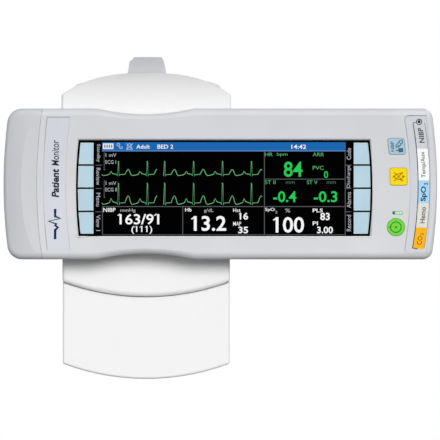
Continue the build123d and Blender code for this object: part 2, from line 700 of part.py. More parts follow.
def front_shell_outline(inset, bottom_drop):
    """Front outline of the front shell, whose top edge is flat in the middle and falls at the sides."""
    low_half, top_half = DOCK_HALF_W - inset, HOOD_HALF_W - inset
    top, side = HOOD_TOP_Z - inset, HOOD_SIDE_Z - inset
    bottom_mid, bottom_side = CREASE_MID_Z - bottom_drop, CREASE_SIDE_Z - bottom_drop
    bend_x, bend_z = HOOD_BEND[0] * top_half, side + HOOD_BEND[1] * (top - side)
    crown = Spline((-top_half, side), (-bend_x, bend_z), (0, top), (bend_x, bend_z), (top_half, side))
    return make_face([
        Line((-low_half, bottom_side), (-top_half, side)),
        crown,
        Line((top_half, side), (low_half, bottom_side)),
        bow(low_half, -low_half, bottom_side, bottom_mid),
    ])


def hood_profile(inset):
    """Side profile of the hood, from its brow back over the top."""
    front, low, top = DOCK_FRONT_Y + inset, 50.0, HOOD_TOP_Z + 1.6 - inset
    brow = (-66.0 + inset * 0.6, HOOD_TOP_Z - 8.2 - inset * 0.8)
    return make_face([
        Line((DOCK_SPLIT_Y, -140), (front, -140)),
        Line((front, -140), (front, low)),
        ThreePointArc((front, low), brow, (-46.0, top)),
        Line((-46.0, top), (DOCK_SPLIT_Y, top)),
        Line((DOCK_SPLIT_Y, top), (DOCK_SPLIT_Y, -140)),
    ])


def dock_front_shell():
    body = prism_y(front_shell_outline(0, 0), -95, DOCK_SPLIT_Y) & prism_x(hood_profile(0), -70, 70)
    body = body.solids()[0]
    front = body.faces().sort_by(Axis.Y)[0]
    body = fillet([e for e in front.edges() if e.center().Z < CREASE_SIDE_Z], CHIN_EDGE_R)
    rim = [e for e in body.edges() if e.bounding_box().max.Y < DOCK_SPLIT_Y - 0.5]
    body = fillet([e for e in rim if e.center().Z > CREASE_SIDE_Z], 2.2)
    throat = block(-70, 70, -100, SPINE_FRONT_Y, *THROAT_Z)
    body -= throat
    cavity = prism_y(front_shell_outline(DOCK_WALL, 20), -95, DOCK_SPLIT_Y - DOCK_WALL)
    cavity &= prism_x(hood_profile(DOCK_WALL), -70, 70)
    cavity -= block(-70, 70, -100, SPINE_FRONT_Y + DOCK_WALL,
                    THROAT_Z[0] - DOCK_WALL, THROAT_Z[1] + DOCK_WALL)
    body -= cavity
    body -= block(-45, 45, -28, -20, -130, 62)              # the back is open towards the rear shell
    # Cheeks that carry the lever's pin, a seat for the latch spring, and the slots they need.
    for s in (-1, 1):
        x0, x1 = sorted((s * 14.2, s * 17.2))
        body += block(x0, x1, PIVOT_Y - 5, PIVOT_Y + 5, PIVOT_Z - 5, HOOD_TOP_Z - 1.6)
    body += block(-5, 5, LATCH_Y - 3.4, LATCH_Y + 3.4, 68.2, 71.2)
    body -= rod_x(PIVOT_Y, PIVOT_Z, 1.5, -18, 18)
    body -= block(-14.2, 14.2, -41.0, -28.4, 66.0, 90)      # lever slot
    body -= block(-9.4, 9.4, LATCH_Y - 3.4, LATCH_Y + 3.4, 40, 50)
    body -= block(-16.3, 16.3, -45, -30, CONTACT_Z - 5.3, CONTACT_Z + 5.3)
    body -= rod_y(0, IR_Z, 5.4, -45, -30)
    for x in (-GUIDE_X, GUIDE_X):
        body -= rod_y(x, 0, 2.1, -45, -30)
    return body


def dock_base_shell():
    half_w = DOCK_HALF_W - 0.1
    low = dock_outline(half_w, -40, -40, BASE_MID_Z, BASE_SIDE_Z)
    slope = make_face([
        Line((DOCK_SPLIT_Y, -20), (BASE_FRONT_Y, -20)),
        Line((BASE_FRONT_Y, -20), (BASE_FRONT_Y, BASE_FLOOR_Z)),
        Line((BASE_FRONT_Y, BASE_FLOOR_Z), (DOCK_SPLIT_Y, BASE_REAR_Z)),
        Line((DOCK_SPLIT_Y, BASE_REAR_Z), (DOCK_SPLIT_Y, -20)),
    ])
    body = (prism_y(low, -95, DOCK_SPLIT_Y) & prism_x(slope, -70, 70)).solids()[0]
    rim = [e for e in body.edges() if e.bounding_box().max.Y < DOCK_SPLIT_Y - 0.5 and e.center().Z < -50]
    body = fillet(rim, 1.6)
    wall = DOCK_WALL
    inner = dock_outline(half_w - wall, -20, -20, BASE_MID_Z + wall, BASE_SIDE_Z + wall)
    inner_slope = make_face([
        Line((DOCK_SPLIT_Y - wall, -20), (BASE_FRONT_Y + wall, -20)),
        Line((BASE_FRONT_Y + wall, -20), (BASE_FRONT_Y + wall, BASE_FLOOR_Z + wall)),
        Line((BASE_FRONT_Y + wall, BASE_FLOOR_Z + wall), (DOCK_SPLIT_Y - wall, BASE_REAR_Z + wall)),
        Line((DOCK_SPLIT_Y - wall, BASE_REAR_Z + wall), (DOCK_SPLIT_Y - wall, -20)),
    ])
    body -= prism_y(inner, -95, DOCK_SPLIT_Y) & prism_x(inner_slope, -70, 70)
    body -= block(-45, 45, -28, -20, -107, 0)
    # The upper edge follows the front shell's lower arc, a hair below it.
    return body - prism_y(front_shell_outline(0, 0.3), -95, 0)


def dock_rear_shell():
    outline = dock_outline(REAR_SHELL_HALF_W, REAR_SHELL_TOP_Z, REAR_SHELL_SIDE_Z,
                           REAR_SHELL_BOTTOM_Z - 0.01, REAR_SHELL_BOTTOM_Z)
    outline = fillet(outline.vertices(), 4.0)
    body = prism_y(outline, DOCK_SPLIT_Y, 0)
    body = fillet([e for e in body.edges() if e.bounding_box().min.Y > -0.01], 2.5)
    cavity = offset(outline, amount=-DOCK_WALL)
    body -= prism_y(cavity, DOCK_SPLIT_Y - 1, -6.0)
    body -= rounded_block(-PLATE_HALF, PLATE_HALF, -PLATE_T, 5, -PLATE_HALF, PLATE_HALF, 3.0)
    for x in (-1, 1):
        for z in (-1, 1):
            cx, cz = x * BOLT_SPACING / 2, z * BOLT_SPACING / 2
            body += rod_y(cx, cz, 5.2, -14.0, -5.0)
            body -= rod_y(cx, cz, 3.5, -14.5, 0)
    for x in (-1, 1):
        body += rod_y(x * 37.5, 0, 4.0, -12.0, -5.0)
        body -= rod_y(x * 37.5, 0, 1.3, -12.5, 0)
    for name in DOCK_SOCKETS:
        body -= dock_socket_plug(name, 0.1, -116, -104)
    for k in range(7):                                      # cooling slots in the back
        body -= block(-30, 30, -8, 2, -64.0 - 6.0 * k, -61.6 - 6.0 * k)
    return body


def dock_socket_plug(name, grow, z0, z1):
    """The plug-shaped solid of one of the dock's sockets, between two heights."""
    x, half_x, half_y, kind = DOCK_SOCKETS[name]
    if kind == "round":
        return rod_z(x, DOCK_SOCKET_Y, half_x + grow, z0, z1)
    return rounded_block(x - half_x - grow, x + half_x + grow, DOCK_SOCKET_Y - half_y - grow,
                         DOCK_SOCKET_Y + half_y + grow, z0, z1, 0.8, Axis.Z)


def dock_socket(name):
    x, half_x, half_y, kind = DOCK_SOCKETS[name]
    low = REAR_SHELL_BOTTOM_Z - 0.6
    body = dock_socket_plug(name, 0.0, low, low + 15.0)
    body -= dock_socket_plug(name, -1.4, low - 1, low + 11.0)
    if kind == "round":
        body += rod_z(x, DOCK_SOCKET_Y, 1.0, low + 8.5, low + 11.5)
    else:
        for k in range(-3, 4):
            pin_x = x + k * half_x / 5
            back = DOCK_SOCKET_Y + half_y - 1.0
            body += block(pin_x - 0.3, pin_x + 0.3, back - 2.0, back, low + 7.0, low + 11.5)
    return body


def mount_plate():
    plate = rounded_block(-PLATE_HALF + 0.15, PLATE_HALF - 0.15, -PLATE_T, 0,
                          -PLATE_HALF + 0.15, PLATE_HALF - 0.15, 2.9)
    for x in (-1, 1):
        for z in (-1, 1):
            plate -= rod_y(x * BOLT_SPACING / 2, z * BOLT_SPACING / 2, BOLT_HOLE_R, -10, 10)
        plate -= rod_y(x * 37.5, 0, 1.7, -10, 10)
        plate -= Pos(x * 37.5, -0.9, 0) * Rot(90, 0, 0) * Cone(1.7, 3.5, 1.8)
    return plate


def mount_inserts():
    made = []
    for x in (-1, 1):
        for z in (-1, 1):
            cx, cz = x * BOLT_SPACING / 2, z * BOLT_SPACING / 2
            made.append(rod_y(cx, cz, 3.45, -14.0, -PLATE_T) - rod_y(cx, cz, BOLT_HOLE_R, -15, 0))
    return made


def plate_screws():
    made = []
    for x in (-1, 1):
        shank = rod_y(x * 37.5, 0, 1.25, -11.5, -1.0)
        head = Pos(x * 37.5, -0.95, 0) * Rot(90, 0, 0) * Cone(1.6, 3.3, 1.7)
        drive = Pos(x * 37.5, 0, 0) * Rot(90, 0, 0) * extrude(RegularPolygon(1.1, 6), 0.9, both=True)
        made.append(shank + head - drive)
    return made


CRADLE = (-42.0, 42.0, -30.0, 30.0)
CRADLE_Y = -44.0


def cradle_plate():
    x0, x1, z0, z1 = CRADLE
    plate = rounded_block(x0, x1, CRADLE_Y, SPINE_FRONT_Y, z0, z1, 5.0)
    plate = fillet(plate.edges().group_by(Axis.Y)[0], 1.2)
    plate -= block(-16.2, 16.2, -50, -30, CONTACT_Z - 5.2, CONTACT_Z + 5.2)
    plate -= rod_y(0, IR_Z, 5.3, -50, -30)
    for x in (-GUIDE_X, GUIDE_X):
        plate -= rod_y(x, 0, 2.05, -50, -30)
    return plate


def guide_posts():
    made = []
    for x in (-GUIDE_X, GUIDE_X):
        tail = rod_y(x, 0, 2.0, CRADLE_Y, -34.5)
        post = rod_y(x, 0, 3.6, -49.0, CRADLE_Y)
        nose = Pos(x, -51.0, 0) * Rot(90, 0, 0) * Cone(3.6, 2.0, 4.0)
        made.append(tail + post + nose)
    return made


def contact_block():
    body = block(-16, 16, -45.8, -37.0, CONTACT_Z - 5, CONTACT_Z + 5)
    body += block(-16, 16, -37.0, -33.0, CONTACT_Z - 5, CONTACT_Z + 5)
    for x in CONTACT_XS:
        body -= rod_y(x, CONTACT_Z, 1.0, -50, -36.0)
    return body


def contact_pins():
    made = []
    for x in CONTACT_XS:
        pin = rod_y(x, CONTACT_Z, 0.95, -47.2, -38.6)
        made.append(fillet(pin.edges().group_by(Axis.Y)[0], 0.5))
    return made


def shelf_pads():
    return [rounded_block(x0, x0 + 28, -76, -46, THROAT_Z[0], THROAT_Z[0] + 0.45, 3.0, Axis.Z)
            for x0 in (-46, 18)]


save("dock_front_shell", dock_front_shell())
save("dock_base_shell", dock_base_shell())
save("dock_rear_shell", dock_rear_shell())
save("mount_plate", mount_plate())
save("mount_fasteners", *mount_inserts(), *plate_screws())
save("cradle_plate", cradle_plate())
save("guide_posts", *guide_posts())
save("contact_block", contact_block())
save("contact_pins", *contact_pins())
save("dock_ir_window", rod_y(0, IR_Z, 5.2, CRADLE_Y - 0.3, -36.0))
save("shelf_pads", *shelf_pads())
save("dock_power_socket", dock_socket("power"))
save("dock_data_sockets", dock_socket("network"), dock_socket("system"))


# ---- Release lever and latch -------------------------------------------------------------------------
def release_lever():
    """Bell-crank lever: pushing the tab back lifts its forward arm and the latch with it."""
    half_w, shoulder_z, tip_z = 13.7, 84.4, 87.2
    tab = make_face(Polyline(
        (-half_w, 56), (-half_w, 74), (-11.9, shoulder_z), (-9.8, shoulder_z + 1.2), (-9.0, tip_z),
        (10.0, tip_z), (11.5, shoulder_z), (half_w, 74), (half_w, 56), close=True))
    tab = fillet([v for v in tab.vertices() if v.Y > 80], 0.9)
    # Seen from the side, the tab is hollow in front: it curls forward towards its tip.
    side = make_face([
        Line((-33.0, 56), (-39.4, 56)),
        Line((-39.4, 56), (-39.4, 66)),
        ThreePointArc((-39.4, 66), (-39.7, 78.0), (-42.6, tip_z)),
        Line((-42.6, tip_z), (-38.2, tip_z)),
        ThreePointArc((-38.2, tip_z), (-34.9, 78.0), (-33.0, 66)),
        Line((-33.0, 66), (-33.0, 56)),
    ])
    plate = prism_y(tab, -50, -30) & prism_x(side, -20, 20)
    hub = rod_x(PIVOT_Y, PIVOT_Z, 4.2, -13.2, 13.2)
    arm = block(-4, 4, LATCH_Y - 2.6, PIVOT_Y, PIVOT_Z - 1.6, PIVOT_Z + 1.6)
    return plate + hub + arm - rod_x(PIVOT_Y, PIVOT_Z, 1.55, -20, 20)


def latch_slide():
    low, high = 44.3, 63.6
    body = block(-9.0, 9.0, LATCH_Y - 3.0, LATCH_Y + 3.0, low, high)
    nose = [e for e in body.edges().filter_by(Axis.X)
            if e.center().Z < low + 1 and e.center().Y < LATCH_Y]
    body = chamfer(nose, 2.0)
    return body - block(-4.6, 4.6, LATCH_Y - 5, LATCH_Y + 5, PIVOT_Z - 2.5, PIVOT_Z + 2.5)


def latch_spring():
    coil = Pos(0, LATCH_Y, 64.05) * Helix(pitch=1.05, height=3.7, radius=2.4)
    return sweep(Plane(origin=coil @ 0, z_dir=coil % 0) * Circle(0.3), path=coil)


save("release_lever", release_lever())
save("lever_pin", rod_x(PIVOT_Y, PIVOT_Z, 1.5, -17.2, 17.2))
save("latch_slide", latch_slide())
save("latch_spring", latch_spring())


# ---- Inside the dock ------------------------------------------------------------------------------------
def dock_board():
    board = block(-42, 42, -32.4, -30.8, -100, 40)
    board -= block(-17, 17, -34, -28, CONTACT_Z - 6, CONTACT_Z + 6)
    chips = [block(x, x + w, -30.8, -30.8 + t, z, z + h) for x, w, t, z, h in (
        (-34, 26, 2.2, -60, 26), (4, 30, 3.2, -92, 24), (-30, 20, 1.6, 14, 16))]
    return [board, *chips]


def power_module():
    case = rounded_block(-38, 38, -70, -36, -106, -84, 2.0, Axis.X)
    fins = [block(-34 + 8 * k, -32 + 8 * k, -68, -38, -84, -78) for k in range(9)]
    return [case, *fins]


save("dock_board", *dock_board())
save("power_module", *power_module())
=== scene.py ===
# %% [markdown]
# # A bedside patient monitor on its docking station
#
# The monitor is a long, low instrument that hangs on a white dock. Its shells, keys and
# sockets come from the CAD frame, in metres, with the origin at the dock's rear bolt pattern.
# What Blender adds is everything that is colour, print or light: moulded plastic with a fine
# spark-eroded grain, the lit screen, the printed key symbols, and the label strip.

# %% Load the frame
import math

import bmesh
import bpy
from mathutils import Matrix, Vector
from mathutils.bvhtree import BVHTree
from mathutils.geometry import convex_hull_2d


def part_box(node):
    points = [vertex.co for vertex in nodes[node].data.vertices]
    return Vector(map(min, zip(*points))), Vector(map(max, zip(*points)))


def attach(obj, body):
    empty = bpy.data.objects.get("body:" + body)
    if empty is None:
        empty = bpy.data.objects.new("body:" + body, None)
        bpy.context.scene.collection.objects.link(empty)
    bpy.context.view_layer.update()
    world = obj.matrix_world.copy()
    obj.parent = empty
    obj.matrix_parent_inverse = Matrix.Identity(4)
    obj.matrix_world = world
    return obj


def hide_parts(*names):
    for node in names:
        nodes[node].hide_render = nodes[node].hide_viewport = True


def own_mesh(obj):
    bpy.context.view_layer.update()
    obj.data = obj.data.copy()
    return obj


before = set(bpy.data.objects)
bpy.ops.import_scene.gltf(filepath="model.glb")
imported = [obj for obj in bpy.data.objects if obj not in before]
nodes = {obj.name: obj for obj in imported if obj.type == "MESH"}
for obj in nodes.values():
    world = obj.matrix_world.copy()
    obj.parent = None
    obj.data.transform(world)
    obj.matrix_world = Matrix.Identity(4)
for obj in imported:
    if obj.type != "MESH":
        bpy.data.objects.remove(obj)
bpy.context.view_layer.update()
MM = 0.001

# %% [markdown]
# ## The camera and the light
#
# The monitor is seen straight on, so a long lens stands three metres in front of it: with so
# little perspective the two ends look the same. The studio is one broad, low lamp in front,
# a little to the right, and a pale surround. The lamp's height decides how far the monitor's
# shadow falls down the dock's chin, and the dim lower part of the surround lets the underside
# of each round edge go dark.

# %% Camera
CENTRE_X = 49.9 * MM
CENTRE_Z = -24.2 * MM
FRAME_WIDTH = 294.8 * MM
FRONT_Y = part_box("front_housing")[0][1]
LENS_DISTANCE = 3.0

camera_data = bpy.data.cameras.new("camera")
camera_data.sensor_width = 36.0
camera_data.lens = 36.0 * LENS_DISTANCE / FRAME_WIDTH
camera_data.clip_start, camera_data.clip_end = 0.1, 60.0
camera = bpy.data.objects.new("camera", camera_data)
camera.location = (CENTRE_X, FRONT_Y - LENS_DISTANCE, CENTRE_Z)
camera.rotation_euler = (math.radians(90), 0, 0)
bpy.context.scene.collection.objects.link(camera)
bpy.context.scene.camera = camera
bpy.context.scene.view_settings.view_transform = "Standard"
print("lens", round(camera_data.lens), "mm at", LENS_DISTANCE, "m")

# %% Lamps
def lamp(name, azimuth, elevation, strength, angle, colour=(1, 1, 1)):
    """A sun seen from the object at this azimuth (right is positive) and elevation, in degrees."""
    data = bpy.data.lights.new(name, "SUN")
    data.energy, data.angle, data.color = strength, math.radians(angle), colour
    made = bpy.data.objects.new(name, data)
    a, e = math.radians(azimuth), math.radians(elevation)
    towards = Vector((math.sin(a) * math.cos(e), -math.cos(a) * math.cos(e), math.sin(e)))
    made.rotation_euler = towards.to_track_quat("Z", "Y").to_euler()
    bpy.context.scene.collection.objects.link(made)
    return made


lamp("key_lamp", 12, 19, 2.2, 24)
lamp("back_lamp", 150, 30, 0.6, 20)
lamp("left_lamp", -60, 35, 0.08, 30)

# %% Surround and floor
world = bpy.data.worlds.new("surround")
bpy.context.scene.world = world
world.use_nodes = True
wn, wl = world.node_tree.nodes, world.node_tree.links
wn.clear()
coords = wn.new("ShaderNodeTexCoord")
split = wn.new("ShaderNodeSeparateXYZ")
ramp = wn.new("ShaderNodeValToRGB")
ramp.color_ramp.elements[0].position, ramp.color_ramp.elements[0].color = 0.22, (0.36, 0.36, 0.36, 1)
ramp.color_ramp.elements[1].position, ramp.color_ramp.elements[1].color = 0.85, (0.36, 0.36, 0.36, 1)
middle = ramp.color_ramp.elements.new(0.5)
middle.color = (0.72, 0.72, 0.72, 1)
half = wn.new("ShaderNodeMath")
half.operation = "MULTIPLY_ADD"
half.inputs[1].default_value, half.inputs[2].default_value = 0.5, 0.5
seen = wn.new("ShaderNodeBackground")
seen.inputs["Color"].default_value = (1, 1, 1, 1)
lit = wn.new("ShaderNodeBackground")
lit.inputs["Strength"].default_value = 0.82
path = wn.new("ShaderNodeLightPath")
mix = wn.new("ShaderNodeMixShader")
out = wn.new("ShaderNodeOutputWorld")
wl.new(coords.outputs["Generated"], split.inputs[0])
wl.new(split.outputs["Z"], half.inputs[0])
wl.new(half.outputs[0], ramp.inputs[0])
wl.new(ramp.outputs[0], lit.inputs["Color"])
wl.new(path.outputs["Is Camera Ray"], mix.inputs[0])
wl.new(lit.outputs[0], mix.inputs[1])
wl.new(seen.outputs[0], mix.inputs[2])
wl.new(mix.outputs[0], out.inputs["Surface"])


def floor_paint():
    """Pale floor. The camera sees it run into the white surround, but it sends little light up."""
    made = bpy.data.materials.new("pale_floor")
    made.use_nodes = True
    n, l = made.node_tree.nodes, made.node_tree.links
    n.clear()
    pale, glow = n.new("ShaderNodeBsdfDiffuse"), n.new("ShaderNodeEmission")
    both, dim = n.new("ShaderNodeAddShader"), n.new("ShaderNodeBsdfDiffuse")
    path, choose = n.new("ShaderNodeLightPath"), n.new("ShaderNodeMixShader")
    end = n.new("ShaderNodeOutputMaterial")
    pale.inputs["Color"].default_value = (0.92, 0.92, 0.92, 1)
    glow.inputs["Color"].default_value = (1, 1, 1, 1)
    glow.inputs["Strength"].default_value = 0.55
    dim.inputs["Color"].default_value = (0.25, 0.25, 0.25, 1)
    l.new(pale.outputs[0], both.inputs[0])
    l.new(glow.outputs[0], both.inputs[1])
    l.new(path.outputs["Is Camera Ray"], choose.inputs[0])
    l.new(dim.outputs[0], choose.inputs[1])
    l.new(both.outputs[0], choose.inputs[2])
    l.new(choose.outputs[0], end.inputs["Surface"])
    return made


FLOOR_Z = -0.30
bm = bmesh.new()
bmesh.ops.create_circle(bm, cap_ends=True, segments=96, radius=2.4)
bmesh.ops.translate(bm, vec=(CENTRE_X, 0, FLOOR_Z), verts=bm.verts)
floor_mesh = bpy.data.meshes.new("floor")
bm.to_mesh(floor_mesh)
bm.free()
floor = bpy.data.objects.new("floor", floor_mesh)
bpy.context.scene.collection.objects.link(floor)
floor_mesh.materials.append(floor_paint())
print("floor at", round(FLOOR_Z / MM), "mm")

# %% [markdown]
# ## Moulded plastic
#
# Instrument housings are injection moulded in a tool whose walls were spark eroded, so the
# skin has a fine, even grain that softens every highlight. A real shell is never one
# colour: the melt flow leaves faint clouds. The recipe mixes two close tones with a slow
# noise and puts a fast noise into the bump and the roughness. All of it reads Object
# coordinates, so it stays with the piece when a joint moves.

# %% Helpers for materials
def srgb(r, g, b):
    """Screen values from 0 to 255 as a linear colour."""
    def one(v):
        v /= 255
        return v / 12.92 if v <= 0.04045 else ((v + 0.055) / 1.055) ** 2.4
    return one(r), one(g), one(b), 1.0


def shade(colour, k):
    """The colour made lighter or darker by a factor."""
    return tuple(min(1.0, c * k) for c in colour[:3]) + (1.0,)


def new_material(name):
    """An empty Principled material and its node tools."""
    made = bpy.data.materials.new(name)
    made.use_nodes = True
    tree = made.node_tree
    return made, tree.nodes, tree.links, tree.nodes["Principled BSDF"]


def noise(n, l, scale, detail=3.0, stretch=(1, 1, 1)):
    """A noise on Object coordinates, in cycles per metre."""
    coord = n.new("ShaderNodeTexCoord")
    mapping = n.new("ShaderNodeMapping")
    mapping.inputs["Scale"].default_value = stretch
    texture = n.new("ShaderNodeTexNoise")
    texture.inputs["Scale"].default_value = scale
    texture.inputs["Detail"].default_value = detail
    l.new(coord.outputs["Object"], mapping.inputs["Vector"])
    l.new(mapping.outputs["Vector"], texture.inputs["Vector"])
    return texture.outputs["Fac"]


def two_tone(n, l, factor, low, high, start=0.35, end=0.65):
    """A ramp between two colours, driven by a noise."""
    made = n.new("ShaderNodeValToRGB")
    made.color_ramp.elements[0].position, made.color_ramp.elements[0].color = start, low
    made.color_ramp.elements[1].position, made.color_ramp.elements[1].color = end, high
    l.new(factor, made.inputs[0])
    return made.outputs["Color"]


def plastic(
    name, colour, rough=0.5, grain=2600, depth=0.035, cloud=0.02, cloud_scale=22, ior=1.46, gloss=0.3
):
    """Moulded plastic with a fine eroded grain and faint flow clouds."""
    made, n, l, shader = new_material(name)
    slow = noise(n, l, cloud_scale, 2.0)
    tones = two_tone(n, l, slow, shade(colour, 1 - cloud), shade(colour, 1 + cloud))
    l.new(tones, shader.inputs["Base Color"])
    fast = noise(n, l, grain, 2.0)
    bump = n.new("ShaderNodeBump")
    bump.inputs["Strength"].default_value = 0.5
    bump.inputs["Distance"].default_value = depth * MM
    l.new(fast, bump.inputs["Height"])
    l.new(bump.outputs["Normal"], shader.inputs["Normal"])
    spread = n.new("ShaderNodeMapRange")
    spread.inputs["To Min"].default_value = max(0.02, rough - 0.06)
    spread.inputs["To Max"].default_value = rough + 0.06
    l.new(fast, spread.inputs["Value"])
    l.new(spread.outputs["Result"], shader.inputs["Roughness"])
    shader.inputs["IOR"].default_value = ior
    shader.inputs["Specular IOR Level"].default_value = gloss
    return made


def metal(name, colour, rough=0.35, stretch=(1, 1, 40), scale=300):
    """Brushed or rolled metal: a noise drawn out along one direction."""
    made, n, l, shader = new_material(name)
    lines = noise(n, l, scale, 4.0, stretch)
    l.new(two_tone(n, l, lines, shade(colour, 0.88), shade(colour, 1.06)), shader.inputs["Base Color"])
    spread = n.new("ShaderNodeMapRange")
    spread.inputs["To Min"].default_value = rough - 0.08
    spread.inputs["To Max"].default_value = rough + 0.1
    l.new(lines, spread.inputs["Value"])
    l.new(spread.outputs["Result"], shader.inputs["Roughness"])
    bump = n.new("ShaderNodeBump")
    bump.inputs["Strength"].default_value = 0.3
    bump.inputs["Distance"].default_value = 0.02 * MM
    l.new(lines, bump.inputs["Height"])
    l.new(bump.outputs["Normal"], shader.inputs["Normal"])
    shader.inputs["Metallic"].default_value = 1.0
    return made


def light_film(name, colour, strength=1.0):
    """A lit part of the screen: picture cells seen as a very fine brightness grid."""
    made, n, l, shader = new_material(name)
    cells = noise(n, l, 3000, 1.0)
    l.new(two_tone(n, l, cells, shade(colour, 0.94), shade(colour, 1.0)), shader.inputs["Emission Color"])
    shader.inputs["Emission Strength"].default_value = strength
    shader.inputs["Base Color"].default_value = (0.0, 0.0, 0.0, 1)
    shader.inputs["Specular IOR Level"].default_value = 0.0
    shader.inputs["Roughness"].default_value = 0.6
    return made


def ink(name, colour, rough=0.55):
    """Screen-printed ink, a little uneven where the mesh left it thinner."""
    made, n, l, shader = new_material(name)
    patch = noise(n, l, 900, 3.0)
    l.new(two_tone(n, l, patch, shade(colour, 0.94), shade(colour, 1.05)), shader.inputs["Base Color"])
    shader.inputs["Roughness"].default_value = rough
    shader.inputs["Specular IOR Level"].default_value = 0.12
    return made


def paint(node, material):
    """Give a CAD node its finish."""
    mesh = nodes[node].data
    mesh.materials.clear()
    mesh.materials.append(material)


# %% Finishes of the monitor's shells
casing = plastic("casing_plastic", srgb(213, 214, 217), 0.52)
lens_cap = plastic("alarm_lens_plastic", srgb(205, 207, 211), 0.46, depth=0.012, cloud=0.012)
badge = plastic("badge_film", srgb(211, 214, 220), 0.55, grain=1500, depth=0.02)
label = plastic("label_film", srgb(208, 211, 216), 0.5, grain=1500, depth=0.015)
mask_black = plastic("mask_black", srgb(2, 2, 3), 0.5, depth=0.01, ior=1.15, gloss=0.06)
for node in ("front_housing", "rear_housing"):
    paint(node, casing)
paint("alarm_lens", lens_cap)
paint("badge_panel", badge)
paint("label_panel", label)
paint("display_mask", mask_black)
print("shells painted")

# %% Finishes of the dock
# Painted shade on the hood: between these heights the front shell's white is multiplied down to this grey,
# standing in for the hood's shading.
HOOD_SHADE_LOW = 22 * MM
HOOD_SHADE_HIGH = 78 * MM
HOOD_PAINTED_SHADE = (0.83, 0.83, 0.83, 1)
dock_white = plastic("dock_white", srgb(246, 246, 246), 0.5, cloud=0.006)


def white_with_painted_hood_shade():
    """The front shell's white with painted shade: it is made a little darker with height, up to the hood,
    where less light falls.
    """
    made = plastic("dock_white_hood_painted_shade", srgb(246, 246, 246), 0.5, cloud=0.006)
    n, l, shader = made.node_tree.nodes, made.node_tree.links, made.node_tree.nodes["Principled BSDF"]
    unshaded_white = shader.inputs["Base Color"].links[0].from_socket
    coord, split = n.new("ShaderNodeTexCoord"), n.new("ShaderNodeSeparateXYZ")
    height, painted_shade = n.new("ShaderNodeMapRange"), n.new("ShaderNodeMix")
    l.new(coord.outputs["Object"], split.inputs[0])
    l.new(split.outputs["Z"], height.inputs["Value"])
    height.inputs["From Min"].default_value = HOOD_SHADE_LOW
    height.inputs["From Max"].default_value = HOOD_SHADE_HIGH
    height.inputs["To Max"].default_value = 1.0
    # Painted shade: the white is multiplied darker with height towards the hood.
    painted_shade.data_type, painted_shade.blend_type = "RGBA", "MULTIPLY"
    painted_shade.inputs["B"].default_value = HOOD_PAINTED_SHADE
    l.new(height.outputs["Result"], painted_shade.inputs["Factor"])
    l.new(unshaded_white, painted_shade.inputs["A"])
    l.new(painted_shade.outputs["Result"], shader.inputs["Base Color"])
    return made


dock_gray = plastic("dock_gray", srgb(202, 203, 206), 0.5)
lever_gray = plastic("lever_gray", srgb(196, 197, 201), 0.42, depth=0.02)
cradle_gray = plastic("cradle_gray", srgb(150, 152, 156), 0.5)
paint("dock_front_shell", white_with_painted_hood_shade())
paint("dock_base_shell", dock_white)
paint("dock_rear_shell", dock_gray)
paint("release_lever", lever_gray)
paint("cradle_plate", cradle_gray)

# %% [markdown]
# ## The screen's glass
#
# A monitor's touch glass has an anti-reflection coat, so from the front it is nearly black
# where nothing is shown. A glass with a low index gives that: only about one part in a hundred
# comes back straight on, and far more at a flat angle.

# %% Glass, dark windows and keys
def dark_glass(name, colour, rough, ior, gloss):
    """Coated glass over black, with faint wipe marks in its gloss."""
    made, n, l, shader = new_material(name)
    smear = noise(n, l, 35, 5.0, (1, 1, 3))
    spread = n.new("ShaderNodeMapRange")
    spread.inputs["To Min"].default_value = rough
    spread.inputs["To Max"].default_value = rough + 0.06
    l.new(smear, spread.inputs["Value"])
    l.new(spread.outputs["Result"], shader.inputs["Roughness"])
    l.new(two_tone(n, l, smear, colour, shade(colour, 1.3)), shader.inputs["Base Color"])
    shader.inputs["IOR"].default_value = ior
    shader.inputs["Specular IOR Level"].default_value = gloss
    return made


paint("touch_glass", dark_glass("touch_glass", (0.0003, 0.0003, 0.0005, 1), 0.10, 1.10, 0.12))
dark_window = dark_glass("infrared_window", (0.02, 0.002, 0.004, 1), 0.08, 1.5, 0.5)
paint("monitor_ir_window", dark_window)
paint("dock_ir_window", dark_window)

soft_key = plastic("soft_key_blue", srgb(181, 211, 224), 0.4, cloud=0.02, cloud_scale=60, depth=0.012)
for side in ("left", "right"):
    for row in range(1, 5):
        paint(f"soft_key_{side}_{row}", soft_key)
paint("pressure_key", plastic("pressure_key_blue", srgb(166, 198, 216), 0.42, depth=0.012))
paint("alarm_pause_key", plastic("alarm_key_yellow", srgb(250, 219, 0), 0.42, depth=0.012, gloss=0.1))
paint("power_key", plastic("power_key_green", srgb(112, 214, 44), 0.42, depth=0.012))
paint("charge_light_pipe", plastic("charge_light_green", srgb(120, 190, 150), 0.35, depth=0.01))

